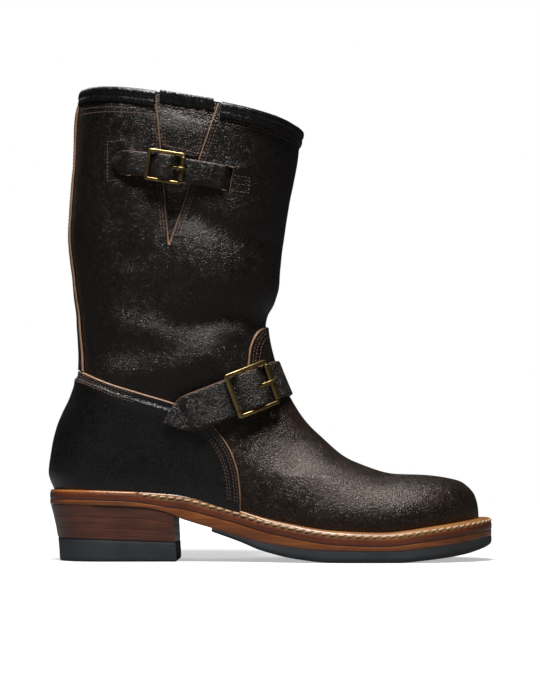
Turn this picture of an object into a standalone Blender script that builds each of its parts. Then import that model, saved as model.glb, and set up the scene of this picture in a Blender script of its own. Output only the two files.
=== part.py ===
"""Engineer boot for the right foot.

+X points to the toe, +Y to the inner side of the foot, +Z up. The origin is on the floor
under the centre of the heel tread. Named sizes are in millimetres and the meshes in metres.
"""
import math

import bmesh
import bpy
import numpy as np
from mathutils import Vector
from mathutils.bvhtree import BVHTree

# Overall sizes
SOLE_LENGTH = 305.0
BOOT_HEIGHT = 323.0
BALL_WIDTH = 105.0
SHAFT_WIDTH = 96.0
TOE_SWING = 5.0
MILLIMETRE = 0.001

# Leather thicknesses and fits
SHAFT_WALL = 2.0
UPPER_WALL = 1.7
COUNTER_WALL = 1.4
STRIP_WALL = 1.2
GUSSET_WALL = 1.2
LAYER_GAP = 0.3
INNER_GAP = 0.7
SOLE_GAP = 0.1

# Sole unit
WELT_THICKNESS = 4.6
RAND_THICKNESS = 2.1
WELT_SLOPE = 1.5
MIDSOLE_THICKNESS = 4.4
INSOLE_THICKNESS = 3.2
TOP_LIFT_BACK = 16.0
TOP_LIFT_BREAST = 13.0
HEEL_LIFT_COUNT = 3
HEEL_TAPER = 6.6
HEEL_WIDTH = 67.0

# Strap over the instep and its buckle
INSTEP_STRAP_WIDTH = 25.2
INSTEP_STRAP_THICKNESS = 2.2
INSTEP_BUCKLE_LENGTH = 28.6
INSTEP_RAIL = 2.8
INSTEP_BAR = 3.2
INSTEP_TILT = 21.6

# Strap round the shaft and its buckle
SHAFT_STRAP_WIDTH = 16.0
SHAFT_STRAP_THICKNESS = 1.6
SHAFT_BUCKLE_LENGTH = 24.6
SHAFT_RAIL = 2.4
SHAFT_BAR = 2.4
SHAFT_TILT = -8.7

# Parts that both buckles share
CHAPE_THICKNESS = 1.5
BUCKLE_SIDE_GAP = 0.35
BAR_HEIGHT = 2.4
PIN_SIZE = 1.4
AXLE_SIZE = 1.8
ROLLER_RADIUS = 1.9
ROLLER_BORE = 1.5
PRONG_THICKNESS = 0.9


def table(names, rows):
    """Columns of a short table by name."""
    return dict(zip(names, np.array(rows, float).T))


# Front line of the last: share along the line, x over sole length, z over boot height
FRONT = table(("share", "x", "z"), (
    (0.000, 0.8092, 0.0913),
    (0.017, 0.8085, 0.1099),
    (0.039, 0.8026, 0.1337),
    (0.056, 0.7908, 0.1486),
    (0.080, 0.7672, 0.1635),
    (0.143, 0.6951, 0.1734),
    (0.202, 0.6262, 0.1752),
    (0.287, 0.5328, 0.2040),
    (0.387, 0.4407, 0.2715),
    (0.445, 0.3970, 0.3214),
    (0.500, 0.3689, 0.3715),
    (0.555, 0.3466, 0.4310),
    (0.620, 0.3344, 0.4985),
    (0.664, 0.3498, 0.5480),
    (0.713, 0.3636, 0.5997),
    (0.807, 0.3793, 0.7028),
    (0.963, 0.4089, 0.8731),
    (1.000, 0.4141, 0.9133),
))

# Back line of the last: z over boot height, x over sole length
BACK = table(("z", "x"), (
    (0.1514, -0.1289),
    (0.1876, -0.1423),
    (0.2393, -0.1354),
    (0.2737, -0.1269),
    (0.3077, -0.1134),
    (0.3421, -0.0961),
    (0.3765, -0.0852),
    (0.4282, -0.0823),
    (0.4966, -0.0879),
    (0.5820, -0.0970),
    (0.6997, -0.1085),
    (0.7542, -0.1062),
    (0.8399, -0.0993),
    (0.9430, -0.0925),
    (0.9926, -0.0833),
))

# Height on the back line that each ring of the last starts from
RINGS = table(("share", "z"), (
    (0.000, 0.1514),
    (0.100, 0.1765),
    (0.300, 0.2477),
    (0.620, 0.3963),
    (0.713, 0.4954),
    (1.000, 0.9926),
))

# Half widths of the last at its widest, over ball width, on the outer and inner side
LAST_WIDTH = table(("x", "outer", "inner"), (
    (-0.141, 0.284, 0.284),
    (0.000, 0.286, 0.286),
    (0.131, 0.288, 0.267),
    (0.246, 0.300, 0.264),
    (0.344, 0.346, 0.302),
    (0.443, 0.414, 0.367),
    (0.525, 0.452, 0.424),
    (0.607, 0.457, 0.421),
    (0.705, 0.433, 0.393),
    (0.810, 0.390, 0.360),
))

# Half widths of the sole, over ball width, on the outer and inner side
SOLE_WIDTH = table(("x", "outer", "inner"), (
    (-0.151, 0.316, 0.316),
    (0.000, 0.326, 0.326),
    (0.131, 0.314, 0.290),
    (0.246, 0.316, 0.274),
    (0.344, 0.386, 0.330),
    (0.443, 0.466, 0.416),
    (0.525, 0.508, 0.480),
    (0.607, 0.516, 0.479),
    (0.705, 0.494, 0.452),
    (0.845, 0.430, 0.400),
))

# Half width of the leg over shaft width, by height over boot height
LEG_WIDTH = table(("z", "half"), (
    (0.15, 0.300),
    (0.30, 0.325),
    (0.40, 0.375),
    (0.51, 0.405),
    (0.62, 0.440),
    (0.75, 0.475),
    (1.00, 0.500),
))

# Rounding lengths of level cuts over sole length, by height over boot height
ROUNDING = table(("z", "back", "front"), (
    (0.15, 0.104, 0.270),
    (0.28, 0.110, 0.240),
    (0.40, 0.140, 0.205),
    (0.56, 0.190, 0.200),
    (1.00, 0.205, 0.205),
))

# Heights along the sole: x over sole length, z over boot height
FEATHER = table(("x", "z"), (
    (-0.1508, 0.1514),
    (0.0000, 0.1471),
    (0.1279, 0.1409),
    (0.2426, 0.1161),
    (0.3561, 0.0858),
    (0.4918, 0.0650),
    (0.5836, 0.0619),
    (0.6984, 0.0743),
    (0.8450, 0.0947),
))
LEATHER_BOTTOM = table(("x", "z"), (
    (-0.1508, 0.1186),
    (-0.0328, 0.1161),
    (0.0656, 0.1115),
    (0.1115, 0.1031),
    (0.1528, 0.0879),
    (0.2262, 0.0669),
    (0.3246, 0.0412),
    (0.4459, 0.0257),
    (0.5377, 0.0229),
    (0.6230, 0.0238),
    (0.6754, 0.0288),
    (0.7672, 0.0399),
    (0.8450, 0.0539),
))
RUBBER_BOTTOM = table(("x", "z"), (
    (0.2164, 0.0620),
    (0.2787, 0.0409),
    (0.3236, 0.0241),
    (0.4016, 0.0068),
    (0.4754, 0.0000),
    (0.6230, 0.0000),
    (0.6754, 0.0040),
    (0.7672, 0.0149),
    (0.8187, 0.0272),
    (0.8459, 0.0359),
))

# Edges in side view: x over sole length, z over boot height
COUNTER_TOP = table(("x", "z"), (
    (-0.0984, 0.4080),
    (0.0010, 0.3669),
    (0.0590, 0.3498),
    (0.1328, 0.3282),
    (0.2033, 0.3003),
    (0.3000, 0.2600),
))
COUNTER_FRONT = table(("z", "x"), (
    (0.0867, 0.2830),
    (0.1090, 0.2830),
    (0.1746, 0.2770),
    (0.2130, 0.2656),
    (0.2458, 0.2482),
    (0.2774, 0.2220),
    (0.3003, 0.2033),
))
UPPER_TOP = table(("x", "z"), (
    (-0.0984, 0.3800),
    (0.0010, 0.3390),
    (0.0590, 0.3219),
    (0.1328, 0.3003),
    (0.2033, 0.2760),
    (0.2459, 0.3003),
    (0.2754, 0.3498),
    (0.2934, 0.4025),
    (0.2984, 0.4489),
    (0.3049, 0.4706),
    (0.3180, 0.4861),
    (0.3400, 0.4985),
))

# Half width of the strip down the back seam, in millimetres, by height over boot height
BACK_STRIP_WIDTH = table(("z", "half"), (
    (0.40, 15.0),
    (0.46, 9.0),
    (0.55, 8.0),
    (0.75, 9.5),
    (0.90, 11.0),
    (1.00, 14.5),
))

# The notch and the gusset: x over sole length, z over boot height
NOTCH = {"left": 0.0974, "right": 0.2325, "top": 0.9505, "tip": 0.1239, "low": 0.6563}
GUSSET_MARGIN = 0.026
SHAFT_SLIT = {"left": 0.034, "right": 0.2525}

# Straps: where the buckle sits, and how far the ends reach from it in millimetres
INSTEP_BUCKLE = {"x": 0.2951, "z": 0.3560}
SHAFT_BUCKLE = {"x": 0.1160, "z": 0.8110}
INSTEP_TIP_REACH = 61.0
INSTEP_TIP_LENGTH = 23.0
INSTEP_END_REACH = 104.0
INSTEP_CHAPE_REACH = 40.0
SHAFT_TIP_REACH = 37.5
SHAFT_TIP_LENGTH = 8.0
SLIT_TUCK = 9.0


def smooth(xs, ys, x):
    """Smooth curve through table rows that never overshoots them."""
    x = np.clip(np.asarray(x, float), xs[0], xs[-1])
    step = np.diff(xs)
    rise = np.diff(ys) / step
    slope = np.zeros(len(xs))
    slope[0] = rise[0]
    slope[-1] = rise[-1]
    same = rise[:-1] * rise[1:] > 0
    before = np.where(same, rise[:-1], 1.0)
    after = np.where(same, rise[1:], 1.0)
    near = 2 * step[1:] + step[:-1]
    far = step[1:] + 2 * step[:-1]
    slope[1:-1] = np.where(same, (near + far) / (near / before + far / after), 0.0)
    k = np.clip(np.searchsorted(xs, x, side="right") - 1, 0, len(xs) - 2)
    t = (x - xs[k]) / step[k]
    first = ys[k] * (1 + 2 * t) * (1 - t) ** 2 + ys[k + 1] * t * t * (3 - 2 * t)
    return first + step[k] * (slope[k] * t * (1 - t) ** 2 + slope[k + 1] * t * t * (t - 1))


def step01(t):
    """Smooth step from 0 to 1."""
    t = np.clip(t, 0.0, 1.0)
    return t * t * (3 - 2 * t)


def side_line(columns):
    """Height in millimetres along a side view line, by x in millimetres."""
    return lambda x: BOOT_HEIGHT * smooth(columns["x"], columns["z"], np.asarray(x) / SOLE_LENGTH)


feather = side_line(FEATHER)
leather_bottom = side_line(LEATHER_BOTTOM)
rubber_bottom = side_line(RUBBER_BOTTOM)
counter_top = side_line(COUNTER_TOP)
upper_top = side_line(UPPER_TOP)

SHARES = np.linspace(0.0, 1.0, 3001)
FRONT_X = SOLE_LENGTH * smooth(FRONT["share"], FRONT["x"], SHARES)
FRONT_Z = BOOT_HEIGHT * smooth(FRONT["share"], FRONT["z"], SHARES)
BEND = int(np.argmin(FRONT_X))


def front_x(z):
    """Front line by height."""
    return np.interp(z, FRONT_Z, FRONT_X)


def ridge_z(x):
    """Top of the forefoot by x, ahead of the ankle bend."""
    return np.interp(x, FRONT_X[BEND::-1], FRONT_Z[BEND::-1])


def back_x(z):
    """Back line by height."""
    return SOLE_LENGTH * smooth(BACK["z"], BACK["x"], np.asarray(z) / BOOT_HEIGHT)


def centre(x, z):
    """The forefoot swings to the inner side, the leg stays straight."""
    swing = step01((x / SOLE_LENGTH - 0.40) / 0.44)
    return TOE_SWING * swing * (1 - step01((z - 0.2 * BOOT_HEIGHT) / (0.25 * BOOT_HEIGHT)))


def rounded(distance, length, power):
    """Share of full width at a distance from a rounded end."""
    t = np.clip(1 - distance / length, 0.0, 1.0)
    return (1 - t ** power) ** (1 / power)


def half_width(x, z, outer):
    """Half width of the last at a side view point."""
    share = x / SOLE_LENGTH
    wide = np.where(outer, smooth(LAST_WIDTH["x"], LAST_WIDTH["outer"], share),
                    smooth(LAST_WIDTH["x"], LAST_WIDTH["inner"], share)) * BALL_WIDTH
    up = z / BOOT_HEIGHT
    low = feather(x)
    leg = SHAFT_WIDTH * smooth(LEG_WIDTH["z"], LEG_WIDTH["half"], up)
    blend = step01((z - low) / (0.2 * BOOT_HEIGHT))
    rear = rounded(x - back_x(z), SOLE_LENGTH * smooth(ROUNDING["z"], ROUNDING["back"], up), 2.05)
    fore = rounded(front_x(z) - x, SOLE_LENGTH * smooth(ROUNDING["z"], ROUNDING["front"], up), 2.0)
    level = (wide * (1 - blend) + leg * blend) * rear * fore
    toe = rounded(FRONT_X[0] - x, 0.19 * SOLE_LENGTH, 2.3)
    top = ridge_z(np.maximum(x, FRONT_X[BEND]))
    rise = np.clip((z - low) / np.maximum(top - low, 0.5), 0.0, 1.0)
    power = 1.75 + 0.6 * step01((share - 0.42) / 0.25)
    arch = wide * toe * (1 - rise ** power) ** (1 / power)
    mix = step01((share - 0.35) / 0.2)
    tuck = 1 - 0.07 * np.exp(-(z - low) / (0.016 * BOOT_HEIGHT))
    return (level * (1 - mix) + arch * mix) * tuck


def last(angle, share):
    """Point of the last: angle from the back over the outer side, share from sole to collar."""
    angle, share = np.broadcast_arrays(np.asarray(angle, float), np.asarray(share, float))
    share = np.clip(share, 0.0, 1.0)
    fore_x = np.interp(share, SHARES, FRONT_X)
    fore_z = np.interp(share, SHARES, FRONT_Z)
    rear_z = BOOT_HEIGHT * smooth(RINGS["share"], RINGS["z"], share)
    rear_x = back_x(rear_z)
    along = (1 - np.cos(angle)) / 2
    x = rear_x + (fore_x - rear_x) * along
    chord = feather(rear_x) + (feather(fore_x) - feather(rear_x)) * along
    fade = 1 - step01(share / 0.6)
    z = rear_z + (fore_z - rear_z) * along + fade * (feather(x) - chord)
    outer = np.sin(angle) >= 0
    wide = np.where(np.abs(np.sin(angle)) < 1e-7, 0.0, half_width(x, z, outer))
    return np.stack([x, centre(x, z) - np.where(outer, wide, -wide), z], axis=-1)


def last_normal(angle, share):
    """Outward direction of the last."""
    turn = 0.02
    rise = 0.002
    share = np.clip(share, 0.0, 1.0)
    across = last(angle + turn, share) - last(angle - turn, share)
    upward = last(angle, np.minimum(share + rise, 1.0)) - last(angle, np.maximum(share - rise, 0.0))
    normal = np.cross(across, upward)
    return normal / np.linalg.norm(normal, axis=-1, keepdims=True)


def above(angle, share, lift):
    """Point at a lift over the last."""
    return last(angle, share) + last_normal(angle, share) * np.asarray(lift)[..., None]


def share_on(angle, line):
    """Ring share at which the last meets a side view line, for each angle."""
    low = np.zeros(np.shape(angle))
    high = np.ones(np.shape(angle))
    for _ in range(36):
        middle = (low + high) / 2
        point = last(angle, middle)
        under = point[..., 2] < line(point[..., 0])
        low = np.where(under, middle, low)
        high = np.where(under, high, middle)
    return (low + high) / 2


def angle_on(share_of, front_of):
    """Angle on the outer side at which a row meets a front edge given by height."""
    low = 0.2
    high = 2.9
    for _ in range(36):
        middle = (low + high) / 2
        point = last(middle, share_of(middle))
        if point[0] < front_of(point[2]):
            low = middle
        else:
            high = middle
    return (low + high) / 2


def sole_outline(angle, inset=0.0):
    """Plan outline of the sole, moved inwards by an inset."""
    def plain(a):
        rear = SOLE_LENGTH * SOLE_WIDTH["x"][0]
        fore = SOLE_LENGTH * SOLE_WIDTH["x"][-1]
        x = rear + (fore - rear) * (1 - np.cos(a)) / 2
        share = x / SOLE_LENGTH
        outer = np.sin(a) >= 0
        wide = np.where(outer, smooth(SOLE_WIDTH["x"], SOLE_WIDTH["outer"], share),
                        smooth(SOLE_WIDTH["x"], SOLE_WIDTH["inner"], share)) * BALL_WIDTH
        wide = wide * rounded(x - rear, 0.12 * SOLE_LENGTH, 2.1)
        wide = wide * rounded(fore - x, 0.205 * SOLE_LENGTH, 2.2)
        wide = np.where(np.abs(np.sin(a)) < 1e-7, 0.0, wide)
        return np.stack([x, centre(x, 0 * x) - np.where(outer, wide, -wide)], axis=-1)
    return shifted(plain, angle, -inset)


def last_outline(angle, outset=0.0):
    """Plan outline of the last at the feather line, moved outwards by an outset."""
    return shifted(lambda a: last(a, 0.0)[..., :2], angle, outset)


def shifted(curve_of, angle, outset):
    """Plan curve moved along its own outward direction."""
    ahead = curve_of(angle + 0.02) - curve_of(angle - 0.02)
    length = np.linalg.norm(ahead, axis=-1, keepdims=True)
    outward = np.stack([ahead[..., 1], -ahead[..., 0]], axis=-1) / length
    return curve_of(angle) + outward * outset


def welt_thickness(x):
    """The welt thins to the rand round the heel seat."""
    return RAND_THICKNESS + (WELT_THICKNESS - RAND_THICKNESS) * step01((x / SOLE_LENGTH - 0.03) / 0.10)


def midsole_top(x):
    return feather(x) - LAYER_GAP - welt_thickness(x) - SOLE_GAP


def midsole_bottom(x):
    return midsole_top(x) - MIDSOLE_THICKNESS


def outsole_top(x):
    return midsole_bottom(x) - SOLE_GAP


MATERIALS = {
    "grained_leather": ((0.020, 0.014, 0.011), 0.38, 0.0),
    "vamp_leather": ((0.030, 0.018, 0.013), 0.36, 0.0),
    "strap_leather": ((0.022, 0.014, 0.011), 0.36, 0.0),
    "welt_leather": ((0.50, 0.25, 0.09), 0.5, 0.0),
    "sole_leather": ((0.24, 0.08, 0.03), 0.4, 0.0),
    "stack_leather": ((0.16, 0.06, 0.03), 0.4, 0.0),
    "insole_leather": ((0.42, 0.27, 0.15), 0.6, 0.0),
    "sole_rubber": ((0.030, 0.033, 0.037), 0.55, 0.0),
    "buckle_brass": ((0.55, 0.42, 0.18), 0.3, 1.0),
}


def node_from(name, mesh_data, slot):
    """Named object from points in millimetres and faces, with its own material."""
    points, faces = mesh_data
    form = bmesh.new()
    corners = [form.verts.new(Vector(p) * MILLIMETRE) for p in points]
    for face in faces:
        form.faces.new([corners[i] for i in face])
    bmesh.ops.recalc_face_normals(form, faces=form.faces)
    mesh = bpy.data.meshes.new(name)
    form.to_mesh(mesh)
    form.free()
    node = bpy.data.objects.new(name, mesh)
    bpy.context.scene.collection.objects.link(node)
    if slot:
        color, roughness, metallic = MATERIALS[slot]
        material = bpy.data.materials.new(slot + "_of_" + name)
        material.use_nodes = True
        shader = material.node_tree.nodes["Principled BSDF"]
        shader.inputs["Base Color"].default_value = (*color, 1.0)
        shader.inputs["Roughness"].default_value = roughness
        shader.inputs["Metallic"].default_value = metallic
        mesh.materials.append(material)
    return node


def stacked_rings(rings):
    """Solid through closed rings, with the two ends closed by strips across."""
    count = len(rings[0])
    points = [tuple(p) for ring in rings for p in ring]
    faces = []
    for row in range(len(rings) - 1):
        for i in range(count):
            j = (i + 1) % count
            faces.append((row * count + i, row * count + j, (row + 1) * count + j, (row + 1) * count + i))
    for base in (0, (len(rings) - 1) * count):
        faces.append((base, base + 1, base + count - 1))
        i = 1
        while i + 1 < count - i - 1:
            faces.append((base + i, base + i + 1, base + count - i - 1, base + count - i))
            i += 1
        if i + 1 == count - i - 1:
            faces.append((base + i, base + i + 1, base + i + 2))
    return points, faces


def closed_wall(rings):
    """Hollow solid through closed rings, the last ring joined to the first."""
    count = len(rings[0])
    points = [tuple(p) for ring in rings for p in ring]
    faces = []
    for row in range(len(rings)):
        after = (row + 1) % len(rings)
        for i in range(count):
            j = (i + 1) % count
            a, b = row * count + i, row * count + j
            c, d = after * count + j, after * count + i
            if row < len(rings) // 2:
                faces += [(a, b, c), (a, c, d)]
            else:
                faces += [(a, b, d), (b, c, d)]
    return points, faces


def sheet(under, over):
    """Solid between two matching grids of points."""
    under = np.asarray(under, float)
    over = np.asarray(over, float)
    rows, columns = under.shape[:2]
    points = [tuple(p) for p in under.reshape(-1, 3)] + [tuple(p) for p in over.reshape(-1, 3)]
    shift = rows * columns
    faces = []
    for i in range(rows - 1):
        for j in range(columns - 1):
            a = i * columns + j
            for base in (a, a + shift):
                faces.append((base, base + 1, base + columns + 1))
                faces.append((base, base + columns + 1, base + columns))
    rim = [i * columns for i in range(rows)]
    rim += [(rows - 1) * columns + j for j in range(1, columns)]
    rim += [i * columns + columns - 1 for i in range(rows - 2, -1, -1)]
    rim += [j for j in range(columns - 2, 0, -1)]
    for k, a in enumerate(rim):
        b = rim[(k + 1) % len(rim)]
        faces.append((a, b, b + shift, a + shift))
    return points, faces


def cut(node, cutter_data, name):
    """Take a hidden cutter out of a node."""
    cutter = node_from(name, cutter_data, None)
    cutter.hide_render = True
    cutter.display_type = "WIRE"
    change = node.modifiers.new(name, "BOOLEAN")
    change.operation = "DIFFERENCE"
    change.solver = "EXACT"
    change.object = cutter


# Sole unit
def slab(bottom_of, top_of, inset, count=76):
    """Full length sole layer between two height lines."""
    turn = np.arange(count) * 2 * math.pi / count
    plan = sole_outline(turn, inset)
    low = np.column_stack([plan, bottom_of(plan[:, 0])])
    high = np.column_stack([plan, top_of(plan[:, 0])])
    return stacked_rings([low, high])


def half_sole():
    """Rubber under the forefoot, thinned away in the waist."""
    rear = SOLE_LENGTH * RUBBER_BOTTOM["x"][0]
    count = 28

    def ring(inset, height):
        rear_x = SOLE_LENGTH * SOLE_WIDTH["x"][0]
        fore_x = SOLE_LENGTH * SOLE_WIDTH["x"][-1]
        start = math.acos(1 - 2 * (rear - rear_x) / (fore_x - rear_x))
        turn = math.pi - (math.pi - start) * np.arange(count + 1) / count
        outer = sole_outline(turn, inset)
        inner = sole_outline(2 * math.pi - turn[:0:-1], inset)
        plan = np.vstack([outer, inner])
        return np.column_stack([plan, height(plan[:, 0])])
    bevel = 1.0
    return stacked_rings([
        ring(bevel, rubber_bottom),
        ring(0.2, lambda x: rubber_bottom(x) + np.minimum(bevel, 0.4 * (leather_bottom(x) - rubber_bottom(x)))),
        ring(0.2, lambda x: leather_bottom(x) - SOLE_GAP),
    ])


def heel_ring(level, height_of, count=15):
    """D-shaped ring of the heel at a share from the floor (0) to the seat (1)."""
    taper = HEEL_TAPER * (1 - level ** 1.6)
    rear = SOLE_LENGTH * SOLE_WIDTH["x"][0] + 0.4 + taper
    breast = 0.1393 * SOLE_LENGTH - 1.9 * level
    half = HEEL_WIDTH / 2 - 0.4 * taper
    turn = np.arange(count + 1) / count * math.pi / 2
    x = rear + (breast - rear) * (1 - np.cos(turn))
    y = half * rounded(x - rear, half, 2.1)
    narrow = 1 - 0.03 * step01((x - rear) / (breast - rear) * 2 - 1)
    outer = np.column_stack([x, -y * narrow])
    inner = np.column_stack([x, y * narrow])[:0:-1]
    plan = np.vstack([outer, inner])
    return np.column_stack([plan, height_of(plan[:, 0])])


def top_lift_height(x):
    share = (x / SOLE_LENGTH + 0.13) / 0.27
    return TOP_LIFT_BACK + (TOP_LIFT_BREAST - TOP_LIFT_BACK) * share


def heel_pieces():
    """Top lift and leather lifts of the heel."""
    floor = lambda x: 0 * x
    yield "heel_top_lift", "sole_rubber", stacked_rings([
        heel_ring(0.0, floor),
        heel_ring(0.38, top_lift_height),
    ])
    for k in range(HEEL_LIFT_COUNT):
        def edge(part, k=k):
            share = (k + part) / HEEL_LIFT_COUNT
            return lambda x: (top_lift_height(x) * (1 - share) + (leather_bottom(x) - LAYER_GAP) * share
                              + SOLE_GAP * (1 - part))
        first = 0.40 + 0.58 * k / HEEL_LIFT_COUNT
        final = 0.40 + 0.58 * (k + 1) / HEEL_LIFT_COUNT
        yield "heel_lift_%d" % (k + 1), "stack_leather", stacked_rings([
            heel_ring(first, edge(0.0)),
            heel_ring(final, edge(1.0)),
        ])


def welt_strip(first, final, count):
    """Strip on the midsole between the upper and the sole edge."""
    turn = np.linspace(first, final, count)
    across = [last_outline(turn, -3.4), last_outline(turn, LAYER_GAP + UPPER_WALL + 1.0), sole_outline(turn, 0.3)]
    drop = (0.0, 0.0, 1.0)
    under = []
    over = []
    for plan, down in zip(across, drop):
        x = plan[:, 0]
        slope = WELT_SLOPE * down * welt_thickness(x) / WELT_THICKNESS
        under.append(np.column_stack([plan, midsole_top(x) + LAYER_GAP]))
        over.append(np.column_stack([plan, feather(x) - LAYER_GAP - slope]))
    return sheet(under, over)


def insole():
    """Foot bed inside the upper, stepped down to the midsole."""
    turn = np.arange(52) * 2 * math.pi / 52
    inner = last_outline(turn, -3.8)
    outer = last_outline(turn, -0.5)
    edge = last_outline(turn, -1.2)
    return stacked_rings([
        np.column_stack([inner, midsole_top(inner[:, 0]) + INNER_GAP]),
        np.column_stack([inner, feather(inner[:, 0]) + 0.1]),
        np.column_stack([outer, feather(outer[:, 0]) + 0.3]),
        np.column_stack([outer, feather(outer[:, 0]) + INSOLE_THICKNESS - 0.6]),
        np.column_stack([edge, feather(edge[:, 0]) + INSOLE_THICKNESS]),
    ])


# Upper, counter and shaft
ROUND = 60
TURN = np.arange(ROUND) * 2 * math.pi / ROUND


UPPER_ROWS = (0, 0.03, 0.07, 0.12, 0.18, 0.25, 0.36, 0.48, 0.6, 0.71, 0.8, 0.9, 1)


def upper():
    """Vamp and heel quarter in one wall, with the tab up the front."""
    top = share_on(TURN, upper_top)
    outside = [above(TURN, top * s, np.full(ROUND, LAYER_GAP + UPPER_WALL)) for s in UPPER_ROWS]
    inside = [above(TURN, top * s, np.full(ROUND, LAYER_GAP)) for s in UPPER_ROWS]
    for rows in (outside, inside):
        rows[0][:, 2] = feather(rows[0][:, 0])
    return closed_wall(outside + inside[::-1])


def counter():
    """Heel counter over the quarter, its top edge lying on the shaft."""
    over_quarter = lambda x: upper_top(x) + 1.8
    past_ramp = lambda x: upper_top(x) + 0.62 * (counter_top(x) - upper_top(x))
    lines = [(s, upper_top) for s in UPPER_ROWS]
    lines += [(1, over_quarter), (1, past_ramp), (1, counter_top)]
    lifts = [2 * LAYER_GAP + UPPER_WALL + 0.15] * (len(lines) - 2) + [LAYER_GAP, LAYER_GAP]
    back_turn = TURN[:14]
    front_of = lambda z: SOLE_LENGTH * smooth(COUNTER_FRONT["z"], COUNTER_FRONT["x"], z / BOOT_HEIGHT)
    under = []
    over = []
    for (part, line), lift in zip(lines, lifts):
        reach = angle_on(lambda a: part * share_on(a, line), front_of)
        turn = np.concatenate([back_turn, np.linspace(back_turn[-1], reach, 5)[1:]])
        turn = np.concatenate([-turn[:0:-1], turn])
        share = part * share_on(turn, line)
        low = above(turn, share, np.full(35, lift))
        high = above(turn, share, np.full(35, lift + COUNTER_WALL))
        if part == 0:
            low[:, 2] = feather(low[:, 0])
            high[:, 2] = feather(high[:, 0])
        under.append(low)
        over.append(high)
    return sheet(under, over)


COLLAR_TOP = 1.0


def shaft():
    """Leg of the boot, tucked into the upper."""
    top = share_on(TURN, upper_top)
    rows = [top * s for s in (0.8, 0.9, 1)]
    rows += [top + (COLLAR_TOP - top) * s for s in (0.1, 0.2, 0.34, 0.52, 0.76, 1)]
    outside = [last(TURN, row) for row in rows]
    inside = [above(TURN, row, np.full(ROUND, -SHAFT_WALL)) for row in rows]
    return closed_wall(outside + inside[::-1])


def notch_edges(z):
    """Left and right edge of the notch at a height."""
    share = (z / BOOT_HEIGHT - NOTCH["low"]) / (NOTCH["top"] - NOTCH["low"])
    left = NOTCH["tip"] + (NOTCH["left"] - NOTCH["tip"]) * share
    right = NOTCH["tip"] + (NOTCH["right"] - NOTCH["tip"]) * share
    return SOLE_LENGTH * left, SOLE_LENGTH * right


def notch_cutter():
    """Wedge that opens the notch through the outer wall."""
    low = NOTCH["low"] * BOOT_HEIGHT
    high = 1.06 * BOOT_HEIGHT
    left, right = notch_edges(high)
    tip = NOTCH["tip"] * SOLE_LENGTH
    plan = [(tip - 0.5, low), (tip + 0.5, low), (right, high), (left, high)]
    near = [(x, -0.8 * SHAFT_WIDTH, z) for x, z in plan]
    far = [(x, -0.15 * SHAFT_WIDTH, z) for x, z in plan]
    return near + far, [(0, 1, 2, 3), (4, 5, 6, 7), (0, 1, 5, 4), (1, 2, 6, 5), (2, 3, 7, 6), (3, 0, 4, 7)]


def outer_point(x, z, lift):
    """Point over the outer side of the last at a side view place."""
    def plain(a, b):
        return np.stack([a, centre(a, b) - half_width(a, b, True), b], axis=-1)
    x, z = np.broadcast_arrays(np.asarray(x, float), np.asarray(z, float))
    along = plain(x + 0.5, z) - plain(x - 0.5, z)
    upward = plain(x, z + 0.5) - plain(x, z - 0.5)
    normal = np.cross(along, upward)
    normal = normal / np.linalg.norm(normal, axis=-1, keepdims=True)
    return plain(x, z) + normal * np.asarray(lift)[..., None]


def collar_z(x):
    """Height of the collar edge on the outer side."""
    rear = last(0.0, COLLAR_TOP)
    fore = last(math.pi, COLLAR_TOP)
    return rear[2] + (fore[2] - rear[2]) * (x - rear[0]) / (fore[0] - rear[0])


GUSSET_DROP = 3.5


def gusset():
    """Panel behind the notch."""
    low = (NOTCH["low"] - 0.035) * BOOT_HEIGHT
    under = []
    over = []
    for part in (0, 0.25, 0.5, 0.78, 0.9, 1):
        z = low + (0.94 * BOOT_HEIGHT - low) * part
        left, right = notch_edges(max(z, NOTCH["low"] * BOOT_HEIGHT))
        margin = GUSSET_MARGIN * SOLE_LENGTH
        x = np.linspace(left - margin, right + margin, 9)
        height = low + (collar_z(x) - GUSSET_DROP - low) * part
        sink = SHAFT_WALL + INNER_GAP + 1.8 * step01((part - 0.78) / 0.12)
        over.append(outer_point(x, height, np.full(9, -sink)))
        under.append(outer_point(x, height, np.full(9, -sink - GUSSET_WALL)))
    return sheet(under, over)


def gusset_binding():
    """Bound top edge of the gusset, between the two sides of the notch."""
    left, right = notch_edges(collar_z(0.165 * SOLE_LENGTH) - 8.0)
    x = np.linspace(left + 0.8, right - 0.8, 9)
    sink = SHAFT_WALL + INNER_GAP + 1.8
    back = -sink - GUSSET_WALL
    inner = ((-sink + 0.3, -6.5), (-sink + 0.3, 0.4), ((back - sink) / 2, 0.7), (back - 0.3, 0.4), (back - 0.3, -6.5))
    outer = ((-sink + 1.3, -6.5), (-sink + 1.4, 0.9), ((back - sink) / 2, 1.8), (back - 1.4, 0.9), (back - 1.3, -6.5))
    top = collar_z(x) - GUSSET_DROP
    under = [outer_point(x, top + t, np.full(9, n)) for n, t in inner]
    over = [outer_point(x, top + t, np.full(9, n)) for n, t in outer]
    return sheet(under, over)


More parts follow.
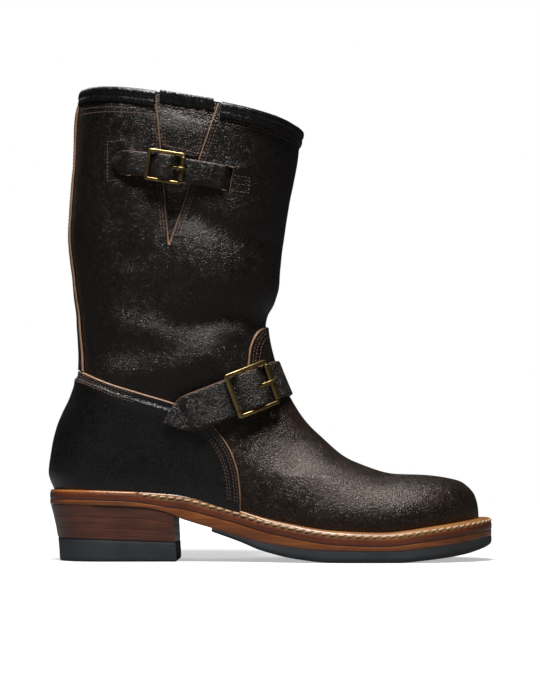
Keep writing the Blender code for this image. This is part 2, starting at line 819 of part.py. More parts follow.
def collar_binding():
    """Rolled binding over the top edge, from one side of the notch round to the other."""
    z = collar_z(0.165 * SOLE_LENGTH)
    left, right = notch_edges(z)

    def turn_at(x):
        rear = last(0.0, COLLAR_TOP)[0]
        fore = last(math.pi, COLLAR_TOP)[0]
        return math.acos(1 - 2 * (x - rear) / (fore - rear))
    turn = np.linspace(turn_at(right + 1.2), 2 * math.pi + turn_at(left - 0.6), 45)
    inner = ((0.45, -8.4), (0.45, -5.5), (0.45, 0.5), (-1.0, 0.6), (-2.5, 0.5), (-2.6, -3.6))
    outer = ((1.6, -8.4), (2.4, -5.0), (1.7, 1.2), (-1.0, 2.1), (-3.1, 1.2), (-3.4, -3.6))
    edge = last(turn, COLLAR_TOP)
    normal = last_normal(turn, COLLAR_TOP)
    upward = edge - last(turn, COLLAR_TOP - 0.01)
    upward = upward - normal * np.sum(upward * normal, axis=-1, keepdims=True)
    upward = upward / np.linalg.norm(upward, axis=-1, keepdims=True)
    under = [edge + normal * n + upward * t for n, t in inner]
    over = [edge + normal * n + upward * t for n, t in outer]
    return sheet(under, over)


def back_strip():
    """Raised strip down the back seam of the shaft."""
    foot = share_on(np.zeros(1), lambda x: counter_top(x) + 0.8)[0]
    top = share_on(np.zeros(1), lambda x: 0 * x + last(0.0, COLLAR_TOP)[2] - 9.2)[0]
    under = []
    over = []
    for part in (0, 0.06, 0.13, 0.22, 0.36, 0.52, 0.68, 0.84, 1):
        share = foot + (top - foot) * part
        here = last(0.0, share)[2]
        half = smooth(BACK_STRIP_WIDTH["z"], BACK_STRIP_WIDTH["half"], here / BOOT_HEIGHT)
        fine = np.linspace(0, 1.2, 121)
        reach = np.interp(half, np.abs(last(fine, share)[:, 1]), fine)
        turn = reach * np.linspace(-1, 1, 7)
        line = share_on(turn, lambda x: counter_top(x) + 0.8)
        row = line + (top - line) * part
        under.append(above(turn, row, np.full(7, LAYER_GAP + 0.15)))
        over.append(above(turn, row, np.full(7, LAYER_GAP + 0.15 + STRIP_WALL)))
    return sheet(under, over)


# Straps and buckles
def last_tree():
    """Fine surface of the last for laying straps on."""
    turns = np.linspace(0, 2 * math.pi, 241)[:-1]
    rows = [last(turns, share) for share in np.linspace(0, 1, 181)]
    points = [tuple(p) for row in rows for p in row]
    faces = []
    for r in range(len(rows) - 1):
        for i in range(240):
            j = (i + 1) % 240
            faces.append((r * 240 + i, r * 240 + j, (r + 1) * 240 + j, (r + 1) * 240 + i))
    return BVHTree.FromPolygons(points, faces)


class Band:
    """Path of a strap round the last in a plane square to the side view."""

    def __init__(self, tree, place, tilt):
        self.tree = tree
        slope = math.radians(tilt)
        square = np.array([-math.sin(slope), 0.0, math.cos(slope)])
        ahead = np.array([math.cos(slope), 0.0, math.sin(slope)])
        middle_x = 0.17 * SOLE_LENGTH
        spot = np.array([place["x"] * SOLE_LENGTH, 0.0, place["z"] * BOOT_HEIGHT])
        origin = spot + ahead * (middle_x - spot[0]) / ahead[0]
        turns = np.linspace(math.radians(172), math.radians(-172), 345)
        hits = []
        for turn in turns:
            ray = ahead * math.cos(turn) + np.array([0.0, -1.0, 0.0]) * math.sin(turn)
            hits.append(np.array(tree.ray_cast(Vector(origin), Vector(ray))[0]))
        path = np.array(hits)
        kernel = np.hanning(5)
        kernel = kernel / kernel.sum()
        padded = np.vstack([path[:1].repeat(2, 0), path, path[-1:].repeat(2, 0)])
        path = np.column_stack([np.convolve(padded[:, k], kernel, "valid") for k in range(3)])
        length = np.concatenate([[0], np.cumsum(np.linalg.norm(np.diff(path, axis=0), axis=1))])
        outer = path[:, 1] < 0
        zero = np.interp(spot[0], path[outer, 0], length[outer])
        self.path = path
        self.length = length - zero
        tangent = np.gradient(path, self.length, axis=0)
        tangent = tangent / np.linalg.norm(tangent, axis=1, keepdims=True)
        lean = np.array([np.array(tree.find_nearest(Vector(p))[1]) for p in path])
        lean = lean * np.sign(np.sum(lean * np.cross(tangent, square), axis=1, keepdims=True))
        wide = np.hanning(31)
        wide = wide / wide.sum()
        padded = np.vstack([lean[:1].repeat(15, 0), lean, lean[-1:].repeat(15, 0)])
        lean = np.column_stack([np.convolve(padded[:, k], wide, "valid") for k in range(3)])
        lean = lean - tangent * np.sum(lean * tangent, axis=1, keepdims=True)
        self.normal = lean / np.linalg.norm(lean, axis=1, keepdims=True)
        self.across = np.cross(self.normal, tangent)

    def at(self, run):
        """Place, outward direction and direction across at a run along the band."""
        pick = lambda rows: np.array([np.interp(run, self.length, rows[:, k]) for k in range(3)])
        normal = pick(self.normal)
        across = pick(self.across)
        return pick(self.path), normal / np.linalg.norm(normal), across / np.linalg.norm(across)

    def run_at(self, x):
        """Run at which the outer side of the band passes an x."""
        outer = self.path[:, 1] < 0
        return float(np.interp(x, self.path[outer, 0], self.length[outer]))

    def rigid(self, run, side, lift):
        """Point beside the path, without following the last across."""
        place, normal, across = self.at(run)
        return place + across * side + normal * lift

    def laid(self, run, side, lift):
        """Point beside the path that follows the last across."""
        place, normal, across = self.at(run)
        away = place + across * side
        hit = self.tree.ray_cast(Vector(away + normal * 30.0), Vector(-normal))[0]
        rise = float(np.dot(np.array(hit) - away, normal)) if hit else 0.0
        return away + normal * (rise + lift)


def strap(band, runs, half_of, lift_of, thickness, columns=5):
    """Strap along a band, its underside at a lift by run."""
    under = []
    over = []
    for run in runs:
        half = half_of(run)
        lift = float(lift_of(run))
        sides = half * np.linspace(-1, 1, columns)
        under.append([band.laid(run, side, lift) for side in sides])
        over.append([band.laid(run, side, lift + thickness) for side in sides])
    return sheet(under, over)


def pointed(reach, length, half):
    """Half width of a strap that comes to a rounded point."""
    def half_of(run):
        u = min(max((-(reach - length) - run) / length, 0.0), 1.0)
        return half * max(1 - u ** 2.0, 0.04)
    return half_of


def box_along(band, runs, half, lifts):
    """Block in the frame of a band."""
    points = [band.rigid(r, s, n) for n in lifts for r, s in ((runs[0], -half), (runs[1], -half),
                                                              (runs[1], half), (runs[0], half))]
    faces = [(0, 1, 2, 3), (4, 5, 6, 7), (0, 1, 5, 4), (1, 2, 6, 5), (2, 3, 7, 6), (3, 0, 4, 7)]
    return points, faces


def buckle_frame(band, sizes, base):
    """Frame with a plain bar, a low pin for the prong and an axle for the roller."""
    half_long = sizes["length"] / 2
    half_wide = sizes["strap"] / 2 + BUCKLE_SIDE_GAP + sizes["rail"]
    rail = half_wide - sizes["rail"]
    runs = (-half_long, -half_long + sizes["bar"], -PIN_SIZE / 2, PIN_SIZE / 2, half_long - AXLE_SIZE, half_long)
    sides = (-half_wide, -rail, -rail + 1.2, rail - 1.2, rail, half_wide)
    full = (sizes["level"] - BAR_HEIGHT / 2, sizes["level"] + BAR_HEIGHT / 2)
    pin = (sizes["pin"] - PIN_SIZE / 2, sizes["pin"] + PIN_SIZE / 2)
    axle = (sizes["roller"] - AXLE_SIZE / 2, sizes["roller"] + AXLE_SIZE / 2)

    def levels(i, j):
        inside = j in (2, 3)
        if inside and i in (2, 3):
            return pin
        if inside and i in (4, 5):
            return axle
        if j in (1, 4) and i in (2, 3):
            return full[0], full[0] + PIN_SIZE
        return full
    filled = {(i, j) for i in range(5) for j in range(5) if j in (0, 4) or i in (0, 2, 4)}
    points = []
    index = {}
    for i in range(6):
        for j in range(6):
            for k in (0, 1):
                index[i, j, k] = len(points)
                points.append(band.rigid(runs[i], sides[j], base + levels(i, j)[k]))
    faces = []
    for i, j in sorted(filled):
        corners = [(i, j), (i + 1, j), (i + 1, j + 1), (i, j + 1)]
        faces.append(tuple(index[a, b, 1] for a, b in corners))
        faces.append(tuple(index[a, b, 0] for a, b in corners))
        for n, (di, dj) in enumerate(((0, -1), (1, 0), (0, 1), (-1, 0))):
            if (i + di, j + dj) not in filled:
                a, b = corners[n], corners[(n + 1) % 4]
                faces.append((index[*a, 0], index[*b, 0], index[*b, 1], index[*a, 1]))
    used = sorted({k for face in faces for k in face})
    order = {k: n for n, k in enumerate(used)}
    return [points[k] for k in used], [tuple(order[k] for k in face) for face in faces]


def roller(band, sizes, base):
    """Tube that turns on the axle of the frame."""
    run = sizes["length"] / 2 - AXLE_SIZE / 2
    half = sizes["strap"] / 2 + BUCKLE_SIDE_GAP - 1.5
    turns = np.arange(12) * 2 * math.pi / 12
    rings = []
    for side, radius in ((-half, ROLLER_BORE), (-half, ROLLER_RADIUS), (half, ROLLER_RADIUS), (half, ROLLER_BORE)):
        rings.append([band.rigid(run + radius * math.cos(t), side, base + sizes["roller"] + radius * math.sin(t))
                      for t in turns])
    return closed_wall(rings)


def prong(band, sizes, base):
    """Tongue hooked round the pin, its tip resting on the roller."""
    radius = PIN_SIZE / 2 * 1.42 + 0.15 + PRONG_THICKNESS / 2
    path = [(radius * math.cos(math.radians(a)), sizes["pin"] + radius * math.sin(math.radians(a)))
            for a in (-70, -105, -140, -175, -210, -240, -265)]
    end = sizes["length"] / 2 - AXLE_SIZE / 2
    over = sizes["roller"] + ROLLER_RADIUS + 0.25 + PRONG_THICKNESS / 2
    path += [(0.24 * end, sizes["pin"] + radius + 0.1), (0.72 * end, over - 0.9), (0.86 * end, over - 0.15),
             (end, over), (end + 1.4, over - 0.25), (end + 2.3, over - 1.2)]
    path = np.array(path)
    ahead = np.gradient(path, axis=0)
    ahead = ahead / np.linalg.norm(ahead, axis=1, keepdims=True)
    side = np.column_stack([-ahead[:, 1], ahead[:, 0]]) * PRONG_THICKNESS / 2
    half = sizes["prong"] / 2
    under = [[band.rigid(r, s, base + n) for s in (-half, half)] for r, n in path - side]
    over_row = [[band.rigid(r, s, base + n) for s in (-half, half)] for r, n in path + side]
    return sheet(under, over_row)


INSTEP = {"strap": INSTEP_STRAP_WIDTH, "length": INSTEP_BUCKLE_LENGTH, "rail": INSTEP_RAIL, "bar": INSTEP_BAR,
          "prong": 2.6, "slack": 0.7}
SHAFT = {"strap": SHAFT_STRAP_WIDTH, "length": SHAFT_BUCKLE_LENGTH, "rail": SHAFT_RAIL, "bar": SHAFT_BAR,
         "prong": 2.0, "slack": 0.2}


def buckle_levels(sizes, thickness):
    """Heights of the strap, bars, pin and roller over the leather below."""
    low = CHAPE_THICKNESS + 0.7
    sizes["low"] = low
    sizes["level"] = low + thickness + LAYER_GAP + BAR_HEIGHT / 2 + sizes["slack"]
    sizes["roller"] = low + thickness + LAYER_GAP + ROLLER_RADIUS
    sizes["pin"] = CHAPE_THICKNESS + LAYER_GAP + 0.2 + PIN_SIZE * 0.71 + 0.15 + PRONG_THICKNESS
    sizes["hump"] = sizes["pin"] + PIN_SIZE * 0.71 + 0.15 + PRONG_THICKNESS + LAYER_GAP


def humped(sizes):
    """Rise of the strap over the pin, as runs and lifts."""
    end = sizes["length"] / 2
    rise = sizes["hump"] - sizes["low"]
    rows = ((-end, 0.0), (-0.74 * end, 0.06), (-0.45 * end, 0.7), (-0.2 * end, 1.0), (0.2 * end, 1.0),
            (0.45 * end, 0.7), (0.7 * end, 0.06), (0.8 * end, 0.0))
    return [(run, sizes["low"] + rise * part) for run, part in rows]


def shaft_fastening(tree):
    """Strap, short end and buckle across the notch."""
    band = Band(tree, SHAFT_BUCKLE, SHAFT_TILT)
    sizes = SHAFT
    buckle_levels(sizes, SHAFT_STRAP_THICKNESS)
    base = 0.4
    right = band.run_at(SHAFT_SLIT["right"] * SOLE_LENGTH)
    left = band.run_at(SHAFT_SLIT["left"] * SOLE_LENGTH)
    inside = -(SHAFT_WALL + INNER_GAP)
    deep = inside - SHAFT_STRAP_THICKNESS
    rows = [(-SHAFT_TIP_REACH, 0.4), (left - 4.5, 0.6), (left + 1.0, sizes["low"] + base)]
    rows += [(run, lift + base) for run, lift in humped(sizes)]
    rows += [(sizes["length"] / 2 + 3, sizes["low"] + base), (right - 9, 0.8), (right - 2.5, 0.4), (right + 2.5, deep),
             (right + SLIT_TUCK, deep)]
    rows = np.array(rows)
    half = SHAFT_STRAP_WIDTH / 2
    runs = [-SHAFT_TIP_REACH + d for d in (0, 1.2, 3.2, 5.4, 8)]
    runs += [run for run in rows[1:, 0] if run > runs[-1] + 1]
    runs = sorted(runs + [0.58 * sizes["length"] / 2, -0.6 * sizes["length"] / 2])
    lift = lambda run: np.interp(run, rows[:, 0], rows[:, 1])
    node = node_from("shaft_strap", strap(band, runs, pointed(SHAFT_TIP_REACH, SHAFT_TIP_LENGTH, half), lift,
                                          SHAFT_STRAP_THICKNESS), "strap_leather")
    cut(node, box_along(band, (1.6, 9.8), sizes["prong"] / 2 + 0.3, (2.6, 12.0)), "shaft_strap_hole_cutter")
    deep_chape = inside - CHAPE_THICKNESS
    chape = np.array([(left - SLIT_TUCK, deep_chape), (left - 2.5, deep_chape), (left + 2.5, base), (2.6, base)])
    lift_chape = lambda run: np.interp(run, chape[:, 0], chape[:, 1])
    node_from("shaft_chape", strap(band, [left - SLIT_TUCK, left - 2.5, left, left + 2.5, left + 9, -6, 2.6],
                                   lambda run: half, lift_chape, CHAPE_THICKNESS), "strap_leather")
    node_from("shaft_buckle_frame", buckle_frame(band, sizes, base), "buckle_brass")
    node_from("shaft_buckle_roller", roller(band, sizes, base), "buckle_brass")
    node_from("shaft_buckle_prong", prong(band, sizes, base), "buckle_brass")
    slits = [(box_along(band, (right - 2.9, right + 2.6), half + 0.5, (-6, 4)), "right_slit_cutter"),
             (box_along(band, (left - 2.6, left + 2.9), half + 0.5, (-6, 4)), "left_slit_cutter")]
    return slits


def instep_fastening(tree):
    """Strap, short end and buckle over the instep."""
    band = Band(tree, INSTEP_BUCKLE, INSTEP_TILT)
    sizes = INSTEP
    buckle_levels(sizes, INSTEP_STRAP_THICKNESS)
    vamp = LAYER_GAP + UPPER_WALL + 0.5
    heel = vamp + LAYER_GAP + COUNTER_WALL + 0.2
    half = INSTEP_STRAP_WIDTH / 2
    rows = [(-INSTEP_TIP_REACH, heel + 0.2), (-INSTEP_CHAPE_REACH - 6, heel + 0.5),
            (-INSTEP_CHAPE_REACH - 1.5, heel + sizes["low"] - 0.1), (-26, heel + sizes["low"]),
            (-17, vamp + sizes["low"] + 0.5)]
    rows += [(run, lift + vamp) for run, lift in humped(sizes)]
    end = sizes["length"] / 2
    rows += [(end + 3, vamp + sizes["low"]), (end + 14, vamp + 0.5), (60, vamp + 0.5), (74, heel),
             (INSTEP_END_REACH, heel)]
    rows = np.array(rows)
    lift = lambda run: np.interp(run, rows[:, 0], rows[:, 1])
    runs = [-INSTEP_TIP_REACH + d for d in (0, 2, 5, 9, 14, 19, 23)]
    runs += [run for run in rows[1:, 0] if run > runs[-1] + 1.5]
    runs = sorted(runs + [0.58 * end, -0.6 * end, 32, 36, 40, 43, 46, 50, 54, 67, 88])

    def half_of(run):
        tip = pointed(INSTEP_TIP_REACH, INSTEP_TIP_LENGTH, half)(run)
        tail = max(INSTEP_END_REACH - run, 0.0)
        return min(tip, half - 4.0 * max(1 - tail / 8.0, 0.0) ** 2)
    node = node_from("instep_strap", strap(band, runs, half_of, lift, INSTEP_STRAP_THICKNESS), "strap_leather")
    cut(node, box_along(band, (1.8, 11.4), sizes["prong"] / 2 + 0.3, (4.6, 16.0)), "instep_strap_hole_cutter")
    chape = np.array([(-INSTEP_CHAPE_REACH, heel), (-26, heel), (-17, vamp + 0.3), (3.0, vamp)])
    lift_chape = lambda run: np.interp(run, chape[:, 0], chape[:, 1])
    node_from("instep_chape", strap(band, [-INSTEP_CHAPE_REACH, -33, -26, -21, -17, -10, -4, 3.0],
                                    lambda run: half - 0.3, lift_chape, CHAPE_THICKNESS), "strap_leather")
    node_from("instep_buckle_frame", buckle_frame(band, sizes, vamp), "buckle_brass")
    node_from("instep_buckle_roller", roller(band, sizes, vamp), "buckle_brass")
    node_from("instep_buckle_prong", prong(band, sizes, vamp), "buckle_brass")


for old in list(bpy.data.objects):
    bpy.data.objects.remove(old, do_unlink=True)

WELT_START = 0.055
welt_turn = math.acos(1 - 2 * (WELT_START - SOLE_WIDTH["x"][0]) / (SOLE_WIDTH["x"][-1] - SOLE_WIDTH["x"][0]))
for node_name, node_slot, node_data in heel_pieces():
    node_from(node_name, node_data, node_slot)
node_from("half_sole", half_sole(), "sole_rubber")
node_from("outsole", slab(leather_bottom, outsole_top, 0.2), "sole_leather")
node_from("midsole", slab(midsole_bottom, midsole_top, 0.0), "sole_leather")
node_from("welt", welt_strip(welt_turn, 2 * math.pi - welt_turn, 53), "welt_leather")
node_from("heel_seat_rand", welt_strip(-welt_turn + 0.01, welt_turn - 0.01, 19), "welt_leather")
node_from("insole", insole(), "insole_leather")
node_from("upper", upper(), "vamp_leather")
node_from("counter", counter(), "grained_leather")
shaft_node = node_from("shaft", shaft(), "grained_leather")
cut(shaft_node, notch_cutter(), "notch_cutter")
node_from("gusset", gusset(), "grained_leather")
node_from("gusset_binding", gusset_binding(), "grained_leather")
node_from("collar_binding", collar_binding(), "grained_leather")
node_from("back_strip", back_strip(), "grained_leather")
surface = last_tree()
for slit_data, slit_name in shaft_fastening(surface):
    cut(shaft_node, slit_data, slit_name)
instep_fastening(surface)
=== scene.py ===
import math

import bmesh
import bpy
import numpy as np
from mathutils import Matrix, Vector
from mathutils.bvhtree import BVHTree


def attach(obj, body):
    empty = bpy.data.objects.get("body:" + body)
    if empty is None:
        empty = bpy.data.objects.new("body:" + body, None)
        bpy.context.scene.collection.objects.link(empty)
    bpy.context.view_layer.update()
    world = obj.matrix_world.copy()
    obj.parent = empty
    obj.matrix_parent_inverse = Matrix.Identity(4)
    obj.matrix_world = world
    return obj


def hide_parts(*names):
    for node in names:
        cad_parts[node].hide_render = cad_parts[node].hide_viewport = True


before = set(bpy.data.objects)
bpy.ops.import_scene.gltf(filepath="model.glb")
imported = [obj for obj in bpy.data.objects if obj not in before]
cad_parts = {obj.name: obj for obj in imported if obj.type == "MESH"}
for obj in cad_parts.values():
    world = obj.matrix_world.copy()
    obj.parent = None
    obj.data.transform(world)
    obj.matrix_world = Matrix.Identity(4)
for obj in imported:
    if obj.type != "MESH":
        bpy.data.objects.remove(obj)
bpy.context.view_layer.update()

# Everything is worked out in millimetres in the boot's own frame, then scaled to metres.
MILLIMETRE = 0.001
SOLE_LENGTH = 305.0
BOOT_HEIGHT = 323.0
BALL_WIDTH = 105.0
SHAFT_WIDTH = 96.0
TOE_SWING = 5.0
SHAFT_WALL = 2.0
UPPER_WALL = 1.7
COUNTER_WALL = 1.4
STRIP_WALL = 1.2
GUSSET_WALL = 1.2
LAYER_GAP = 0.3
INNER_GAP = 0.7
SOLE_GAP = 0.1
WELT_THICKNESS = 4.6
RAND_THICKNESS = 2.1
MIDSOLE_THICKNESS = 4.4
TOP_LIFT_BACK = 16.0
TOP_LIFT_BREAST = 13.0
HEEL_LIFT_COUNT = 3
HEEL_TAPER = 6.6
HEEL_WIDTH = 67.0


def table(names, rows):
    """Columns of a short table by name."""
    return dict(zip(names, np.array(rows, float).T))


# Front line of the last: share along the line, x over sole length, z over boot height
FRONT = table(("share", "x", "z"), (
    (0.000, 0.8092, 0.0913), (0.017, 0.8085, 0.1099), (0.039, 0.8026, 0.1337), (0.056, 0.7908, 0.1486),
    (0.080, 0.7672, 0.1635), (0.143, 0.6951, 0.1734), (0.202, 0.6262, 0.1752), (0.287, 0.5328, 0.2040),
    (0.387, 0.4407, 0.2715), (0.445, 0.3970, 0.3214), (0.500, 0.3689, 0.3715), (0.555, 0.3466, 0.4310),
    (0.620, 0.3344, 0.4985), (0.664, 0.3498, 0.5480), (0.713, 0.3636, 0.5997), (0.807, 0.3793, 0.7028),
    (0.963, 0.4089, 0.8731), (1.000, 0.4141, 0.9133),
))
BACK = table(("z", "x"), (
    (0.1514, -0.1289), (0.1876, -0.1423), (0.2393, -0.1354), (0.2737, -0.1269), (0.3077, -0.1134),
    (0.3421, -0.0961), (0.3765, -0.0852), (0.4282, -0.0823), (0.4966, -0.0879), (0.5820, -0.0970),
    (0.6997, -0.1085), (0.7542, -0.1062), (0.8399, -0.0993), (0.9430, -0.0925), (0.9926, -0.0833),
))
RINGS = table(("share", "z"), (
    (0.000, 0.1514), (0.100, 0.1765), (0.300, 0.2477), (0.620, 0.3963), (0.713, 0.4954), (1.000, 0.9926),
))
LAST_WIDTH = table(("x", "outer", "inner"), (
    (-0.141, 0.284, 0.284), (0.000, 0.286, 0.286), (0.131, 0.288, 0.267), (0.246, 0.300, 0.264),
    (0.344, 0.346, 0.302), (0.443, 0.414, 0.367), (0.525, 0.452, 0.424), (0.607, 0.457, 0.421),
    (0.705, 0.433, 0.393), (0.810, 0.390, 0.360),
))
SOLE_WIDTH = table(("x", "outer", "inner"), (
    (-0.151, 0.316, 0.316), (0.000, 0.326, 0.326), (0.131, 0.314, 0.290), (0.246, 0.316, 0.274),
    (0.344, 0.386, 0.330), (0.443, 0.466, 0.416), (0.525, 0.508, 0.480), (0.607, 0.516, 0.479),
    (0.705, 0.494, 0.452), (0.845, 0.430, 0.400),
))
LEG_WIDTH = table(("z", "half"), (
    (0.15, 0.300), (0.30, 0.325), (0.40, 0.375), (0.51, 0.405), (0.62, 0.440), (0.75, 0.475), (1.00, 0.500),
))
ROUNDING = table(("z", "back", "front"), (
    (0.15, 0.104, 0.270), (0.28, 0.110, 0.240), (0.40, 0.140, 0.205), (0.56, 0.190, 0.200),
    (1.00, 0.205, 0.205),
))
# Heights along the sole and edges in side view: x over sole length, z over boot height
FEATHER = table(("x", "z"), (
    (-0.1508, 0.1514), (0.0000, 0.1471), (0.1279, 0.1409), (0.2426, 0.1161), (0.3561, 0.0858),
    (0.4918, 0.0650), (0.5836, 0.0619), (0.6984, 0.0743), (0.8450, 0.0947),
))
LEATHER_BOTTOM = table(("x", "z"), (
    (-0.1508, 0.1186), (-0.0328, 0.1161), (0.0656, 0.1115), (0.1115, 0.1031), (0.1528, 0.0879),
    (0.2262, 0.0669), (0.3246, 0.0412), (0.4459, 0.0257), (0.5377, 0.0229), (0.6230, 0.0238),
    (0.6754, 0.0288), (0.7672, 0.0399), (0.8450, 0.0539),
))
RUBBER_BOTTOM = table(("x", "z"), (
    (0.2164, 0.0620), (0.2787, 0.0409), (0.3236, 0.0241), (0.4016, 0.0068), (0.4754, 0.0000),
    (0.6230, 0.0000), (0.6754, 0.0040), (0.7672, 0.0149), (0.8187, 0.0272), (0.8459, 0.0359),
))
COUNTER_TOP = table(("x", "z"), (
    (-0.0984, 0.4080), (0.0010, 0.3669), (0.0590, 0.3498), (0.1328, 0.3282), (0.2033, 0.3003),
    (0.3000, 0.2600),
))
COUNTER_FRONT = table(("z", "x"), (
    (0.0867, 0.2830), (0.1090, 0.2830), (0.1746, 0.2770), (0.2130, 0.2656), (0.2458, 0.2482),
    (0.2774, 0.2220), (0.3003, 0.2033),
))
UPPER_TOP = table(("x", "z"), (
    (-0.0984, 0.3800), (0.0010, 0.3390), (0.0590, 0.3219), (0.1328, 0.3003), (0.2033, 0.2760),
    (0.2459, 0.3003), (0.2754, 0.3498), (0.2934, 0.4025), (0.2984, 0.4489), (0.3049, 0.4706),
    (0.3180, 0.4861), (0.3400, 0.4985),
))
BACK_STRIP_WIDTH = table(("z", "half"), (
    (0.40, 16.5), (0.46, 13.5), (0.55, 10.8), (0.65, 9.8), (0.75, 9.8), (0.90, 11.0), (1.00, 14.5),
))
NOTCH = {"left": 0.0974, "right": 0.2325, "top": 0.9505, "tip": 0.1239, "low": 0.6563}
SHAFT_SLIT = {"left": 0.034, "right": 0.2525}
COLLAR_TOP = 1.0


def smooth(xs, ys, x):
    """Smooth curve through table rows that never overshoots them."""
    x = np.clip(np.asarray(x, float), xs[0], xs[-1])
    step = np.diff(xs)
    rise = np.diff(ys) / step
    slope = np.zeros(len(xs))
    slope[0] = rise[0]
    slope[-1] = rise[-1]
    same = rise[:-1] * rise[1:] > 0
    before = np.where(same, rise[:-1], 1.0)
    after = np.where(same, rise[1:], 1.0)
    near = 2 * step[1:] + step[:-1]
    far = step[1:] + 2 * step[:-1]
    slope[1:-1] = np.where(same, (near + far) / (near / before + far / after), 0.0)
    k = np.clip(np.searchsorted(xs, x, side="right") - 1, 0, len(xs) - 2)
    t = (x - xs[k]) / step[k]
    first = ys[k] * (1 + 2 * t) * (1 - t) ** 2 + ys[k + 1] * t * t * (3 - 2 * t)
    return first + step[k] * (slope[k] * t * (1 - t) ** 2 + slope[k + 1] * t * t * (t - 1))


def step01(t):
    """Smooth step from 0 to 1."""
    t = np.clip(t, 0.0, 1.0)
    return t * t * (3 - 2 * t)


def side_line(columns):
    """Height along a side view line by x."""
    return lambda x: BOOT_HEIGHT * smooth(columns["x"], columns["z"], np.asarray(x) / SOLE_LENGTH)


feather = side_line(FEATHER)
leather_bottom = side_line(LEATHER_BOTTOM)
rubber_bottom = side_line(RUBBER_BOTTOM)
counter_top = side_line(COUNTER_TOP)
upper_top = side_line(UPPER_TOP)
SHARES = np.linspace(0.0, 1.0, 3001)
FRONT_X = SOLE_LENGTH * smooth(FRONT["share"], FRONT["x"], SHARES)
FRONT_Z = BOOT_HEIGHT * smooth(FRONT["share"], FRONT["z"], SHARES)
BEND = int(np.argmin(FRONT_X))


def front_x(z):
    return np.interp(z, FRONT_Z, FRONT_X)


def ridge_z(x):
    """Top of the forefoot by x, ahead of the ankle bend."""
    return np.interp(x, FRONT_X[BEND::-1], FRONT_Z[BEND::-1])


def back_x(z):
    return SOLE_LENGTH * smooth(BACK["z"], BACK["x"], np.asarray(z) / BOOT_HEIGHT)


def counter_front(z):
    return SOLE_LENGTH * smooth(COUNTER_FRONT["z"], COUNTER_FRONT["x"], np.asarray(z) / BOOT_HEIGHT)


def centre(x, z):
    """The forefoot swings to the inner side, the leg stays straight."""
    swing = step01((x / SOLE_LENGTH - 0.40) / 0.44)
    return TOE_SWING * swing * (1 - step01((z - 0.2 * BOOT_HEIGHT) / (0.25 * BOOT_HEIGHT)))


def rounded(distance, length, power):
    """Share of full width at a distance from a rounded end."""
    t = np.clip(1 - distance / length, 0.0, 1.0)
    return (1 - t ** power) ** (1 / power)


def half_width(x, z, outer):
    """Half width of the last at a side view point."""
    share = x / SOLE_LENGTH
    wide = np.where(outer, smooth(LAST_WIDTH["x"], LAST_WIDTH["outer"], share),
                    smooth(LAST_WIDTH["x"], LAST_WIDTH["inner"], share)) * BALL_WIDTH
    up = z / BOOT_HEIGHT
    low = feather(x)
    leg = SHAFT_WIDTH * smooth(LEG_WIDTH["z"], LEG_WIDTH["half"], up)
    blend = step01((z - low) / (0.2 * BOOT_HEIGHT))
    rear = rounded(x - back_x(z), SOLE_LENGTH * smooth(ROUNDING["z"], ROUNDING["back"], up), 2.05)
    fore = rounded(front_x(z) - x, SOLE_LENGTH * smooth(ROUNDING["z"], ROUNDING["front"], up), 2.0)
    level = (wide * (1 - blend) + leg * blend) * rear * fore
    toe = rounded(FRONT_X[0] - x, 0.19 * SOLE_LENGTH, 2.3)
    top = ridge_z(np.maximum(x, FRONT_X[BEND]))
    rise = np.clip((z - low) / np.maximum(top - low, 0.5), 0.0, 1.0)
    power = 1.75 + 0.6 * step01((share - 0.42) / 0.25)
    arch = wide * toe * (1 - rise ** power) ** (1 / power)
    mix = step01((share - 0.35) / 0.2)
    tuck = 1 - 0.07 * np.exp(-(z - low) / (0.016 * BOOT_HEIGHT))
    return (level * (1 - mix) + arch * mix) * tuck


def last(angle, share):
    """Point of the last: angle from the back over the outer side, share from sole to collar."""
    angle, share = np.broadcast_arrays(np.asarray(angle, float), np.asarray(share, float))
    share = np.clip(share, 0.0, 1.0)
    fore_x = np.interp(share, SHARES, FRONT_X)
    fore_z = np.interp(share, SHARES, FRONT_Z)
    rear_z = BOOT_HEIGHT * smooth(RINGS["share"], RINGS["z"], share)
    rear_x = back_x(rear_z)
    along = (1 - np.cos(angle)) / 2
    x = rear_x + (fore_x - rear_x) * along
    chord = feather(rear_x) + (feather(fore_x) - feather(rear_x)) * along
    fade = 1 - step01(share / 0.6)
    z = rear_z + (fore_z - rear_z) * along + fade * (feather(x) - chord)
    outer = np.sin(angle) >= 0
    wide = np.where(np.abs(np.sin(angle)) < 1e-7, 0.0, half_width(x, z, outer))
    return np.stack([x, centre(x, z) - np.where(outer, wide, -wide), z], axis=-1)


def unit(rows):
    """Directions brought to length one."""
    return rows / np.linalg.norm(rows, axis=-1, keepdims=True)


def square_to(rows, normal):
    """Directions of length one, freed of their part along another direction."""
    return unit(rows - normal * np.sum(rows * normal, axis=-1, keepdims=True))


def run_along(path):
    """Distance of each point of a path from its start."""
    return np.concatenate([[0], np.cumsum(np.linalg.norm(np.diff(path, axis=0), axis=1))])


def last_normal(angle, share):
    """Outward direction of the last."""
    share = np.clip(share, 0.0, 1.0)
    across = last(angle + 0.02, share) - last(angle - 0.02, share)
    upward = last(angle, np.minimum(share + 0.002, 1.0)) - last(angle, np.maximum(share - 0.002, 0.0))
    return unit(np.cross(across, upward))


def share_on(angle, line):
    """Ring share at which the last meets a side view line, for each angle."""
    low = np.zeros(np.shape(angle))
    high = np.ones(np.shape(angle))
    for _ in range(30):
        middle = (low + high) / 2
        point = last(angle, middle)
        under = point[..., 2] < line(point[..., 0])
        low = np.where(under, middle, low)
        high = np.where(under, high, middle)
    return (low + high) / 2


